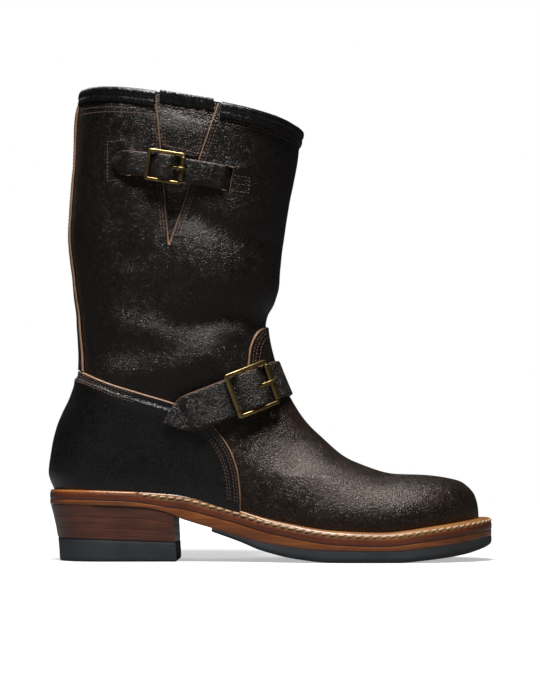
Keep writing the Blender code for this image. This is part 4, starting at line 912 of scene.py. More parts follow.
def shaft_piece():
    """Leg of the boot, slit from the collar down to the point of the notch."""
    parts = [(s, 0.0) for s in np.linspace(0.82, 1, 8)] + [(1.0, t) for t in np.linspace(0, 1, 138)[1:]]
    scan = np.linspace(0.3, 2.8, 500)
    foot = share_on(scan, upper_top)
    first = []
    final = []
    for part, upward in parts:
        point = last(scan, foot * part + (COLLAR_TOP - foot) * upward)
        left, right = notch_edges(point[:, 2])
        final.append(float(np.interp(0.0, point[:, 0] - left, scan)))
        first.append(float(np.interp(0.0, point[:, 0] - right, scan)))
    across = np.linspace(0, 1, 281)
    turn = np.array(first)[:, None] * (1 - across) + (np.array(final)[:, None] + 2 * math.pi) * across
    foot = share_on(turn, upper_top)
    share = foot * np.array([p[0] for p in parts])[:, None]
    share = share + (COLLAR_TOP - foot) * np.array([p[1] for p in parts])[:, None]
    base, normal = last(turn, share), last_normal(turn, share)
    fields = np.concatenate([base, normal, np.zeros(base.shape[:2] + (3,))], axis=-1)
    fields = with_edge(with_edge(fields, 1, False), 1, True)
    base, normal, drop = fields[..., :3], fields[..., 3:6], fields[..., 7]
    low = NOTCH["low"] * BOOT_HEIGHT
    drop = drop * step01((base[..., 2] - low) / 3.0)
    fold = relief(base)
    over = base + normal * (fold - EDGE_BEVEL * SHAFT_WALL * drop)[..., None]
    under = base + normal * (fold - SHAFT_WALL)[..., None]
    rows, columns = base.shape[:2]
    index = np.arange(rows * columns).reshape(rows, columns)
    shut = base[:, 0, 2] < low
    index[shut, -1] = index[shut, 0]
    cut_faces = np.zeros((rows - 1, columns - 1), int)
    cut_faces[~shut[1:], :2] = 1
    cut_faces[~shut[1:], -2:] = 1
    shift = rows * columns
    faces = [grid_quads(index), grid_quads(index) + shift]
    kinds = [cut_faces.ravel(), np.full(cut_faces.size, 2)]
    for line in (index[0], index[-1], index[~shut, 0], index[~shut, -1]):
        faces.append(rim_quads(line, shift))
        kinds.append(np.full(len(line) - 1, 1))
    tip = int(np.argmax(~shut))
    for column in (0, -1):
        pair = (index[tip - 1, 0], index[tip, column])
        faces.append(np.array([[pair[0], pair[1], pair[1] + shift, pair[0] + shift]]))
        kinds.append(np.array([1]))
    faces = np.concatenate(faces)
    kinds = np.concatenate(kinds)
    used, order = np.unique(faces, return_inverse=True)
    points = np.concatenate([over.reshape(-1, 3), under.reshape(-1, 3)])[used]
    faces = order.reshape(faces.shape)
    return piece("leg_shaft", points, faces, LEATHER, ("shaft",), kinds)


NOTCH_MIDDLE = 0.165


def collar_z(x):
    """Height of the collar edge on the outer side."""
    rear = last(0.0, COLLAR_TOP)
    fore = last(math.pi, COLLAR_TOP)
    return rear[2] + (fore[2] - rear[2]) * (x - rear[0]) / (fore[0] - rear[0])


GUSSET_RISE = 2.5
GUSSET_MARGIN = 0.026
GUSSET_TOP = 0.94
GUSSET_ROOT = 0.035
GUSSET_ROWS = 90
GUSSET_COLUMNS = 46
GUSSET_FOLDS = table(("side", "x0", "z0", "x1", "z1", "width", "depth"), (
    (0, 30, 277.2, 62, 269.6, 1.1, 0.5),
    (0, 30, 274.6, 62, 267.0, 1.5, -0.45),
    (0, 34, 259.5, 52, 258.0, 1.6, 0.5),
    (0, 34, 256.0, 52, 254.6, 1.6, -0.5),
    (0, 35, 246.5, 47, 245.2, 1.5, 0.5),
    (0, 35, 243.4, 46, 242.4, 1.5, -0.5),
    (0, 36, 239.5, 44, 239.0, 1.4, 0.4),
    (0, 30, 300.5, 66, 292.5, 2.4, 0.35),
    (0, 34, 304.5, 48, 302.0, 1.8, -0.3),
    (0, 50, 296.5, 68, 292.5, 1.8, -0.3),
))


def gusset_sink(part):
    return SHAFT_WALL + INNER_GAP + 1.8 * step01((part - 0.78) / 0.12)


def gusset_piece():
    """Soft panel behind the notch."""
    low = (NOTCH["low"] - GUSSET_ROOT) * BOOT_HEIGHT
    base = []
    normal = []
    sink = []
    for part in np.linspace(0, 1, GUSSET_ROWS):
        z = low + (GUSSET_TOP * BOOT_HEIGHT - low) * part
        left, right = notch_edges(z)
        margin = GUSSET_MARGIN * SOLE_LENGTH
        x = np.linspace(left - margin, right + margin, GUSSET_COLUMNS)
        height = low + (collar_z(x) + GUSSET_RISE - low) * part
        place, outward = side_point(x, height)
        base.append(place)
        normal.append(outward)
        sink.append(np.full(GUSSET_COLUMNS, -gusset_sink(part) - GUSSET_WALL))
    base = np.array(base)
    panel("notch_gusset", base, np.array(normal), np.array(sink), GUSSET_WALL, LEATHER, (),
          ("gusset",), folded(base, GUSSET_FOLDS))


def rounded_profile(corners, steps):
    """Curve through profile corners."""
    corners = np.asarray(corners, float)
    run = run_along(corners)
    at = np.linspace(0, run[-1], steps)
    return np.column_stack([smooth(run, corners[:, 0], at), smooth(run, corners[:, 1], at)])


def binding(name, frames, inner, outer, replaced, finish, steps=22):
    """Strip folded over an edge: frames give the edge, outward and upward directions."""
    edge, normal, upward = frames
    inner = rounded_profile(inner, steps)
    outer = rounded_profile(outer, steps)
    under = np.array([edge + normal * n + upward * t for n, t in inner])
    over = np.array([edge + normal * n + upward * t for n, t in outer])
    station = np.arange(edge.shape[0])
    swell = 0.12 * np.sin(station * 0.37) + 0.08 * np.sin(station * 0.93 + 1.0)
    over = over + normal * swell[:, None] * 0.6
    points, faces, _ = sheet(over, under)
    piece(name, points, faces, [finish], replaced)


def edge_frames(turn, share):
    """Edge line of the collar with its outward and upward directions."""
    edge = last(turn, share)
    normal = last_normal(turn, share)
    upward = square_to(edge - last(turn, share - 0.01), normal)
    return edge + normal * relief(edge)[..., None], normal, upward


def collar_turns():
    """Start and end of the collar round from one side of the notch to the other."""
    left, right = notch_edges(collar_z(NOTCH_MIDDLE * SOLE_LENGTH))
    rear = last(0.0, COLLAR_TOP)[0]
    fore = last(math.pi, COLLAR_TOP)[0]
    turn_at = lambda x: math.acos(1 - 2 * (x - rear) / (fore - rear))
    return turn_at(right + 1.2), 2 * math.pi + turn_at(left - 0.6)


def collar_piece():
    """Rolled binding round the top of the leg."""
    first, final = collar_turns()
    frames = edge_frames(np.linspace(first, final, 420), COLLAR_TOP)
    inner = ((0.45, -8.4), (0.45, -5.5), (0.45, 0.5), (-1.0, 0.6), (-2.5, 0.5), (-2.6, -3.6))
    outer = ((1.35, -8.4), (1.75, -6.0), (1.5, -4.2), (2.2, -2.4), (2.3, -0.6), (1.5, 1.3), (0.1, 2.0),
             (-1.6, 1.9), (-2.9, 1.2), (-3.4, -0.6), (-3.4, -3.6))
    binding("collar_roll", frames, inner, outer, ("collar_binding",), COUNTER_LEATHER, 30)


def gusset_binding_piece():
    """Bound top edge of the gusset."""
    left, right = notch_edges(collar_z(NOTCH_MIDDLE * SOLE_LENGTH) - 8.0)
    x = np.linspace(left + 0.8, right - 0.8, 60)
    top = collar_z(x) + GUSSET_RISE
    edge, normal = side_point(x, top)
    upward = square_to(side_point(x, top + 0.5)[0] - side_point(x, top - 0.5)[0], normal)
    sink = gusset_sink(1.0)
    back = -sink - GUSSET_WALL
    middle = (back - sink) / 2
    inner = ((-sink + 0.3, -6.5), (-sink + 0.3, 0.4), (middle, 0.7), (back - 0.3, 0.4), (back - 0.3, -6.5))
    outer = ((-sink + 1.1, -6.5), (-sink + 1.5, -3.0), (-sink + 1.4, 0.9), (middle, 1.8), (back - 1.4, 0.9),
             (back - 1.3, -6.5))
    edge = edge + normal * (relief(edge) + 0.25 * np.sin(x * 0.8) + 0.2 * np.sin(x * 1.7 + 1))[..., None]
    binding("gusset_roll", (edge, normal, upward), inner, outer, ("gusset_binding",), COUNTER_LEATHER)


def strip_rows():
    """Rows of the strip down the back seam, with its half angle at each."""
    foot = float(strip_foot(np.zeros(1))[0])
    top = float(share_on(np.zeros(1), lambda x: 0 * x + last(0.0, COLLAR_TOP)[2] - 9.2)[0])
    rows = []
    for part in np.linspace(0, 1, 120):
        share = foot + (top - foot) * part
        here = last(0.0, share)[2]
        half = smooth(BACK_STRIP_WIDTH["z"], BACK_STRIP_WIDTH["half"], here / BOOT_HEIGHT)
        fine = np.linspace(0, 1.2, 121)
        rows.append((part, float(np.interp(half, np.abs(last(fine, share)[:, 1]), fine)), half))
    return rows, top


STRIP_LIFT = LAYER_GAP + 0.15


def strip_foot(turn):
    """Share at which the back strip starts, just over the counter."""
    return share_on(turn, lambda x: counter_top(x) + 0.8)


def strip_place(turn, part, top):
    """Place and outward direction on the back strip."""
    line = strip_foot(turn)
    share = line + (top - line) * part
    return last(turn, share), last_normal(turn, share)


def back_strip_piece():
    rows, top = strip_rows()
    grid = [strip_place(reach * np.linspace(-1, 1, 25), part, top) for part, reach, _ in rows]
    base = np.array([g[0] for g in grid])
    ridge = 0.35 * np.exp(-(np.linspace(-1, 1, 25) * 9.0 / 1.6) ** 2)
    panel("back_seam_strip", base, np.array([g[1] for g in grid]), STRIP_LIFT, STRIP_WALL, LEATHER,
          ("start", "final"), ("back_strip",), np.broadcast_to(ridge, base.shape[:2]))
    lines = []
    for side in (-1, 1):
        for away in (2.6, 4.2):
            line = [strip_place(np.array([side * reach * (1 - away / half)]), part, top)
                    for part, reach, half in rows[2:-2]]
            base = np.array([g[0][0] for g in line])
            normal = np.array([g[1][0] for g in line])
            lines.append(on_top(base, normal, np.full(len(base), STRIP_LIFT + STRIP_WALL)))
    stitching("back_strip_stitching", lines, DARK_THREAD, 1.8, 2.6, 0.3)


def side_stitches(corners, lift, side=-1, spacing=1.0):
    """Stitch line laid through side view corners on one side of the leg."""
    corners = np.asarray(corners, float)
    run = run_along(corners)
    at = np.linspace(0, run[-1], max(int(run[-1] / spacing), 2))
    base, normal = side_point(np.interp(at, run, corners[:, 0]), np.interp(at, run, corners[:, 1]), 0.0, side)
    return on_top(base, normal, np.full(len(at), lift))


# Stitch rows below the collar, as shares of the height of the last
COLLAR_STITCHES = (0.0225, 0.0285)


def shaft_stitches():
    """Rows beside the notch, under the collar and round the strap's slits."""
    lines = []
    low = NOTCH["low"] * BOOT_HEIGHT
    z = np.linspace(low + 4, 298, 90)
    left, right = notch_edges(z)
    for away in (2.6, 4.4):
        lines.append(side_stitches(np.column_stack([left - away, z]), 0.0))
        lines.append(side_stitches(np.column_stack([right + away * 1.1, z]), 0.0))
    first, final = collar_turns()
    turn = np.linspace(first + 0.05, final - 0.05, 420)
    for down in COLLAR_STITCHES:
        share = COLLAR_TOP - down
        lines.append(on_top(last(turn, share), last_normal(turn, share), np.zeros(len(turn))))
    lines.append(side_stitches(((8.5, 281), (-3.8, 281), (-3.8, 254.6), (8.5, 254.6)), 0.0))
    lines.append(side_stitches(((80.5, 257.6), (91.4, 256.6), (90.6, 246.4), (79.6, 247.4)), 0.0))
    lines.append(side_stitches(((80.5, 252.2), (90.8, 251.4)), 0.0))
    stitching("shaft_stitching", lines, BROWN_THREAD, 1.75, 2.4, 0.32)
    sink = -gusset_sink(0.3)
    inner = []
    for away in (2.2, 3.8):
        z = np.linspace(low + 22, 296, 60)
        left, right = notch_edges(z)
        inner.append(side_stitches(np.column_stack([left + away * 0.8, z]), sink))
        inner.append(side_stitches(np.column_stack([right - away, z]), sink))
    inner.append(side_stitches(((33.2, 277.8), (58.3, 271.5)), sink + 0.45))
    inner.append(side_stitches(((31.4, 305.0), (59.8, 299.6), (65.7, 297.6)), -gusset_sink(1.0) + 0.1))
    stitching("gusset_stitching", inner, BROWN_THREAD, 1.7, 2.4, 0.3)


def tab_stitches():
    """Rows inside the edge of the tab that runs up the front."""
    x = np.linspace(0.2085 * SOLE_LENGTH, 0.3345 * SOLE_LENGTH, 240)
    line = np.column_stack([x, upper_top(x)])
    ahead = unit(np.gradient(line, axis=0))
    inward = np.column_stack([ahead[:, 1], -ahead[:, 0]])
    lines = []
    for side in (-1, 1):
        for away in (2.4, 4.2, 6.6):
            row = line + inward * away
            keep = (row[:, 0] < front_x(row[:, 1]) - 1.4) & (row[:, 1] > 96)
            lines.append(side_stitches(row[keep], LAYER_GAP + UPPER_WALL, side))
    stitching("tab_stitching", lines, BROWN_THREAD, 1.75, 2.4, 0.33)


# Straps and buckles
INSTEP_BUCKLE = {"x": 0.2951, "z": 0.3560}
SHAFT_BUCKLE = {"x": 0.1160, "z": 0.8110}
INSTEP_TILT = 21.6
SHAFT_TILT = -8.7
INSTEP_TIP_REACH = 61.0
INSTEP_TIP_LENGTH = 23.0
INSTEP_END_REACH = 104.0
INSTEP_CHAPE_REACH = 40.0
SHAFT_TIP_REACH = 37.5
SHAFT_TIP_LENGTH = 8.0
SLIT_TUCK = 9.0
CHAPE_THICKNESS = 1.5
BUCKLE_SIDE_GAP = 0.35
BAR_HEIGHT = 2.4
PIN_SIZE = 1.4
AXLE_SIZE = 1.8
ROLLER_RADIUS = 1.9
ROLLER_BORE = 1.5
PRONG_THICKNESS = 0.9
INSTEP = {"strap": 25.2, "thick": 2.2, "length": 28.6, "rail": 2.8, "bar": 3.2, "prong": 2.6, "slack": 0.7}
SHAFT = {"strap": 16.0, "thick": 1.6, "length": 24.6, "rail": 2.4, "bar": 2.4, "prong": 2.0, "slack": 0.2}


TREE_ROWS = 221
TREE_COLUMNS = 320
BAND_SWEEP = math.radians(172)
BAND_RAYS = 345


def last_tree():
    """Fine surface of the last for laying straps on."""
    turns = np.linspace(0, 2 * math.pi, TREE_COLUMNS + 1)[:-1]
    points = np.concatenate([last(turns, share) for share in np.linspace(0, 1, TREE_ROWS)])
    index = np.arange(len(points)).reshape(TREE_ROWS, TREE_COLUMNS)
    ahead = np.roll(index, -1, axis=1)
    faces = np.stack([index[:-1], ahead[:-1], ahead[1:], index[1:]], axis=-1).reshape(-1, 4)
    return BVHTree.FromPolygons(points.tolist(), faces.tolist())


LEG_MIDDLE = 0.17


class Band:
    """Path of a strap round the last in a plane square to the side view."""

    def __init__(self, tree, place, tilt):
        self.tree = tree
        slope = math.radians(tilt)
        square = np.array([-math.sin(slope), 0.0, math.cos(slope)])
        ahead = np.array([math.cos(slope), 0.0, math.sin(slope)])
        middle_x = LEG_MIDDLE * SOLE_LENGTH
        spot = np.array([place["x"] * SOLE_LENGTH, 0.0, place["z"] * BOOT_HEIGHT])
        origin = spot + ahead * (middle_x - spot[0]) / ahead[0]
        hits = []
        for turn in np.linspace(BAND_SWEEP, -BAND_SWEEP, BAND_RAYS):
            ray = ahead * math.cos(turn) + np.array([0.0, -1.0, 0.0]) * math.sin(turn)
            hits.append(np.array(tree.ray_cast(Vector(origin), Vector(ray))[0]))
        path = self.settled(np.array(hits), 5)
        length = run_along(path)
        outer = path[:, 1] < 0
        self.path = path
        self.length = length - np.interp(spot[0], path[outer, 0], length[outer])
        tangent = unit(np.gradient(path, self.length, axis=0))
        lean = np.array([np.array(tree.find_nearest(Vector(p))[1]) for p in path])
        lean = lean * np.sign(np.sum(lean * np.cross(tangent, square), axis=1, keepdims=True))
        self.normal = square_to(self.settled(lean, 31), tangent)
        self.across = np.cross(self.normal, tangent)

    @staticmethod
    def settled(rows, width):
        """Rows averaged with their neighbours."""
        kernel = np.hanning(width)
        kernel = kernel / kernel.sum()
        half = width // 2
        padded = np.vstack([rows[:1].repeat(half, 0), rows, rows[-1:].repeat(half, 0)])
        return np.column_stack([np.convolve(padded[:, k], kernel, "valid") for k in range(3)])

    def at(self, run):
        """Place, outward direction and direction across at a run along the band."""
        pick = lambda rows: np.array([np.interp(run, self.length, rows[:, k]) for k in range(3)])
        normal = pick(self.normal)
        across = pick(self.across)
        return pick(self.path), normal / np.linalg.norm(normal), across / np.linalg.norm(across)

    def run_at(self, x):
        """Run at which the outer side of the band passes an x."""
        outer = self.path[:, 1] < 0
        return float(np.interp(x, self.path[outer, 0], self.length[outer]))

    def rigid(self, run, side, lift):
        """Point beside the path, without following the last across."""
        place, normal, across = self.at(run)
        return place + across * side + normal * lift

    def laid(self, run, side, lift):
        """Point beside the path that follows the last across."""
        place, normal, across = self.at(run)
        away = place + across * side
        hit = self.tree.ray_cast(Vector(away + normal * 30.0), Vector(-normal))[0]
        rise = float(np.dot(np.array(hit) - away, normal)) if hit else 0.0
        return away + normal * (rise + lift)


# Columns across a strap, and how far each falls below its face
STRAP_COLUMNS = np.array([-1, -0.975, -0.93, -0.85, -0.7, -0.5, -0.3, -0.1,
                          0.1, 0.3, 0.5, 0.7, 0.85, 0.93, 0.975, 1])
STRAP_DROP = np.array([0.6, 0.22, 0.05] + [0.0] * 10 + [0.05, 0.22, 0.6])


def strap_piece(name, band, runs, half_of, lift_of, thickness, replaced, dome):
    """Strap along a band, with burnished edges and a slightly domed face."""
    over = []
    under = []
    for run in runs:
        half = half_of(run)
        lift = float(lift_of(run))
        wave = 0.10 * math.sin(run * 0.31) + 0.06 * math.sin(run * 0.83 + 1.0)
        swell = dome * (1 - STRAP_COLUMNS ** 2) + wave
        over.append([band.laid(run, half * c, lift + thickness + s - d * thickness)
                     for c, s, d in zip(STRAP_COLUMNS, swell, STRAP_DROP)])
        under.append([band.laid(run, half * c, lift) for c in STRAP_COLUMNS])
    cut = np.zeros((len(over) - 1, len(STRAP_COLUMNS) - 1), int)
    cut[:, [0, -1]] = 1
    points, faces, kinds = sheet(np.array(over), np.array(under), cut, (1, 1, 1, 1))
    face = INSTEP_LEATHER if name.startswith("instep") else STRAP_LEATHER
    return piece(name, points, faces, [face, STRAP_EDGE, FLESH], replaced, kinds)


BOX_FACES = ((0, 1, 2, 3), (4, 5, 6, 7), (0, 1, 5, 4), (1, 2, 6, 5), (2, 3, 7, 6), (3, 0, 4, 7))


def cut_through(thing, boxes, finish):
    """Opens slots in a piece with boxes, each given by its eight corners."""
    form = bmesh.new()
    for corners in boxes:
        corners = [form.verts.new(Vector(p) * MILLIMETRE) for p in corners]
        for face in BOX_FACES:
            form.faces.new([corners[i] for i in face])
    bmesh.ops.recalc_face_normals(form, faces=form.faces)
    mesh = bpy.data.meshes.new("slot_cutter")
    form.to_mesh(mesh)
    form.free()
    mesh.materials.append(finish)
    cutter = bpy.data.objects.new("slot_cutter", mesh)
    bpy.context.scene.collection.objects.link(cutter)
    change = thing.modifiers.new("slots", "BOOLEAN")
    change.operation = "DIFFERENCE"
    change.solver = "EXACT"
    change.material_mode = "TRANSFER"
    change.object = cutter
    shaped = bpy.data.meshes.new_from_object(thing.evaluated_get(bpy.context.evaluated_depsgraph_get()))
    thing.modifiers.clear()
    thing.data = shaped
    bpy.data.objects.remove(cutter, do_unlink=True)


def box_along(band, runs, half, lifts):
    """Corners of a block in the frame of a band."""
    return [band.rigid(r, s, n) for n in lifts for r, s in ((runs[0], -half), (runs[1], -half),
                                                            (runs[1], half), (runs[0], half))]


def pointed(reach, length, half):
    """Half width of a strap that comes to a rounded point."""
    def half_of(run):
        u = min(max((-(reach - length) - run) / length, 0.0), 1.0)
        return half * max(1 - u ** 2.0, 0.04)
    return half_of


def round_bar(u, power):
    """Signed power of a sine or cosine, for a bar with soft corners."""
    return np.sign(u) * np.abs(u) ** power


def buckle_frame_piece(name, band, sizes, base, replaced):
    """Bevelled frame with its axle, and the low pin for the prong."""
    half_long = sizes["length"] / 2
    half_wide = sizes["strap"] / 2 + BUCKLE_SIDE_GAP + sizes["rail"]
    outer = {"left": -half_long, "right": half_long, "half": half_wide, "corner": 2.2}
    inner = {"left": -half_long + sizes["bar"], "right": half_long - AXLE_SIZE,
             "half": half_wide - sizes["rail"], "corner": 0.7}

    def loop(edge):
        """Rounded rectangle, with as many points on each side of both loops."""
        points = []
        r = edge["corner"]
        corners = ((edge["right"] - r, edge["half"] - r, 0), (edge["left"] + r, edge["half"] - r, 90),
                   (edge["left"] + r, -edge["half"] + r, 180), (edge["right"] - r, -edge["half"] + r, 270))
        for k, (x, y, start) in enumerate(corners):
            for step in range(7):
                a = math.radians(start + 15 * step)
                points.append((x + r * math.cos(a), y + r * math.sin(a)))
            after = corners[(k + 1) % 4]
            a = math.radians(start + 90)
            first = np.array((x + r * math.cos(a), y + r * math.sin(a)))
            final = np.array((after[0] + r * math.cos(a), after[1] + r * math.sin(a)))
            points += [tuple(first + (final - first) * t) for t in np.linspace(0, 1, 12)[1:-1]]
        return np.array(points)
    out_loop, in_loop = loop(outer), loop(inner)
    around = np.arange(16) * math.pi / 8
    rings = []
    for o, i in zip(out_loop, in_loop):
        on_axle = step01((min(o[0], i[0]) - (half_long - AXLE_SIZE - 0.4)) / 0.4)
        tall = BAR_HEIGHT / 2 * (1 - on_axle) + AXLE_SIZE / 2 * on_axle
        level = sizes["level"] * (1 - on_axle) + sizes["roller"] * on_axle
        ring = []
        for a in around:
            u = 0.5 + 0.5 * round_bar(math.cos(a), 0.55)
            spot = i + (o - i) * u
            ring.append(band.rigid(spot[0], spot[1], base + level + tall * round_bar(math.sin(a), 0.62)))
        rings.append(np.array(ring))
    points, faces = looped(rings)
    rail = half_wide - sizes["rail"] + 0.9
    pin = []
    for side in np.linspace(-rail, rail, 15):
        rise = step01((abs(side) - rail + 2.2) / 2.0)
        level = sizes["pin"] * (1 - rise) + (sizes["level"] - 0.3) * rise
        pin.append([band.rigid(PIN_SIZE / 2 * math.cos(a), side, base + level + PIN_SIZE / 2 * math.sin(a))
                    for a in np.arange(12) * math.pi / 6])
    pin_points, pin_faces = stacked_rings(pin)
    faces = [tuple(f) for f in faces] + [tuple(i + len(points) for i in f) for f in pin_faces]
    points = np.concatenate([points, np.array(pin_points)])
    piece(name, points, faces, [BRASS_FINISH], replaced, crisp=60.0)


def roller_piece(name, band, sizes, base, replaced):
    """Tube on the axle, its ends turned in a little."""
    run = sizes["length"] / 2 - AXLE_SIZE / 2
    half = sizes["strap"] / 2 + BUCKLE_SIDE_GAP - 0.5
    turns = np.arange(32) * 2 * math.pi / 32
    profile = [(-half, ROLLER_BORE), (-half, ROLLER_RADIUS - 0.2), (-half + 0.2, ROLLER_RADIUS)]
    profile += [(s, ROLLER_RADIUS) for s in np.linspace(-half + 1, half - 1, 9)]
    profile += [(half - 0.2, ROLLER_RADIUS), (half, ROLLER_RADIUS - 0.2), (half, ROLLER_BORE)]
    rings = [np.array([band.rigid(run + r * math.cos(t), s, base + sizes["roller"] + r * math.sin(t))
                       for t in turns]) for s, r in profile]
    points, faces = looped(rings)
    piece(name, points, faces, [BRASS_FINISH], replaced, crisp=50.0)


def prong_piece(name, band, sizes, base, replaced):
    """Tongue hooked round the pin, its flattened tip resting on the roller."""
    radius = PIN_SIZE / 2 * 1.42 + 0.15 + PRONG_THICKNESS / 2
    path = [(radius * math.cos(math.radians(a)), sizes["pin"] + radius * math.sin(math.radians(a)))
            for a in (-70, -105, -140, -175, -210, -240, -265)]
    end = sizes["length"] / 2 - AXLE_SIZE / 2
    over = sizes["roller"] + ROLLER_RADIUS + 0.25 + PRONG_THICKNESS / 2
    path += [(0.24 * end, sizes["pin"] + radius + 0.1), (0.72 * end, over - 0.9), (0.86 * end, over - 0.15),
             (end, over), (end + 1.4, over - 0.25), (end + 2.3, over - 1.2)]
    fine = rounded_profile(path, 60)
    ahead = unit(np.gradient(fine, axis=0))
    up = np.column_stack([-ahead[:, 1], ahead[:, 0]])
    rings = []
    for k, (spot, rise) in enumerate(zip(fine, up)):
        close = min(k, len(fine) - 1 - k) / 3.0
        slim = math.sqrt(min(close + 0.15, 1.0)) * (1 - 0.12 * k / len(fine))
        ring = []
        for a in np.arange(14) * 2 * math.pi / 14:
            side = sizes["prong"] / 2 * slim * round_bar(math.cos(a), 0.7)
            off = PRONG_THICKNESS / 2 * slim * round_bar(math.sin(a), 0.7)
            ring.append(band.rigid(spot[0] + rise[0] * off, side, base + spot[1] + rise[1] * off))
        rings.append(ring)
    points, faces = stacked_rings(rings)
    piece(name, points, faces, [BRASS_FINISH], replaced, crisp=70.0)


def buckle_levels(sizes):
    """Heights of the strap, bars, pin and roller over the leather below."""
    low = CHAPE_THICKNESS + 0.7
    sizes["low"] = low
    sizes["level"] = low + sizes["thick"] + LAYER_GAP + BAR_HEIGHT / 2 + sizes["slack"]
    sizes["roller"] = low + sizes["thick"] + LAYER_GAP + ROLLER_RADIUS
    sizes["pin"] = CHAPE_THICKNESS + LAYER_GAP + 0.2 + PIN_SIZE * 0.71 + 0.15 + PRONG_THICKNESS
    sizes["hump"] = sizes["pin"] + PIN_SIZE * 0.71 + 0.15 + PRONG_THICKNESS + LAYER_GAP


def humped(sizes):
    """Rise of the strap over the pin, as runs and lifts."""
    end = sizes["length"] / 2
    rise = sizes["hump"] - sizes["low"]
    rows = ((-end, 0.0), (-0.74 * end, 0.06), (-0.45 * end, 0.7), (-0.2 * end, 1.0), (0.2 * end, 1.0),
            (0.45 * end, 0.7), (0.7 * end, 0.06), (0.8 * end, 0.0))
    return [(run, sizes["low"] + rise * part) for run, part in rows]


def eased(rows, width=3.0):
    """Lift by run through a table, with its corners eased."""
    rows = np.array(rows)
    fine = np.linspace(rows[0, 0], rows[-1, 0], 1200)
    height = np.interp(fine, rows[:, 0], rows[:, 1])
    count = max(int(width / (fine[1] - fine[0])) | 1, 3)
    kernel = np.hanning(count)
    padded = np.concatenate([np.full(count // 2, height[0]), height, np.full(count // 2, height[-1])])
    height = np.convolve(padded, kernel / kernel.sum(), "valid")
    return lambda run: np.interp(run, fine, height)


def shaft_fastening(tree, leg):
    """Strap, chape and buckle across the notch, and the slits they pass through."""
    band = Band(tree, SHAFT_BUCKLE, SHAFT_TILT)
    sizes = SHAFT
    buckle_levels(sizes)
    base = 0.4
    right = band.run_at(SHAFT_SLIT["right"] * SOLE_LENGTH)
    left = band.run_at(SHAFT_SLIT["left"] * SOLE_LENGTH)
    inside = -(SHAFT_WALL + INNER_GAP)
    deep = inside - sizes["thick"]
    rows = [(-SHAFT_TIP_REACH, 0.4), (left - 4.5, 0.6), (left + 1.0, sizes["low"] + base)]
    rows += [(run, lift + base) for run, lift in humped(sizes)]
    rows += [(sizes["length"] / 2 + 3, sizes["low"] + base), (right - 9, 0.8), (right - 2.5, 0.4),
             (right + 2.5, deep), (right + SLIT_TUCK, deep)]
    half = sizes["strap"] / 2
    runs = np.concatenate([[-SHAFT_TIP_REACH, -SHAFT_TIP_REACH + 0.25, -SHAFT_TIP_REACH + 0.7],
                           np.arange(-SHAFT_TIP_REACH + 1.4, right + SLIT_TUCK, 0.95)])
    strap = strap_piece("shaft_strap_leather", band, runs, pointed(SHAFT_TIP_REACH, SHAFT_TIP_LENGTH, half),
                        eased(rows, 2.0), sizes["thick"], ("shaft_strap",), 0.2)
    cut_through(strap, [box_along(band, (1.6, 9.8), sizes["prong"] / 2 + 0.3, (2.6, 12.0))], STRAP_EDGE)
    deep_chape = inside - CHAPE_THICKNESS
    chape = [(left - SLIT_TUCK, deep_chape), (left - 2.5, deep_chape), (left + 2.5, base), (2.6, base)]
    strap_piece("shaft_chape_leather", band, np.arange(left - SLIT_TUCK, 2.6, 1.1),
                lambda run: half - 0.2, eased(chape, 1.6), CHAPE_THICKNESS, ("shaft_chape",), 0.05)
    buckle_frame_piece("shaft_buckle_frame_cast", band, sizes, base, ("shaft_buckle_frame",))
    roller_piece("shaft_buckle_roller_tube", band, sizes, base, ("shaft_buckle_roller",))
    prong_piece("shaft_buckle_prong_bent", band, sizes, base, ("shaft_buckle_prong",))
    cut_through(leg, [box_along(band, (right - 2.9, right + 2.6), half + 0.5, (-6, 4)),
                      box_along(band, (left - 2.6, left + 2.9), half + 0.5, (-6, 4))], RAW_EDGE)


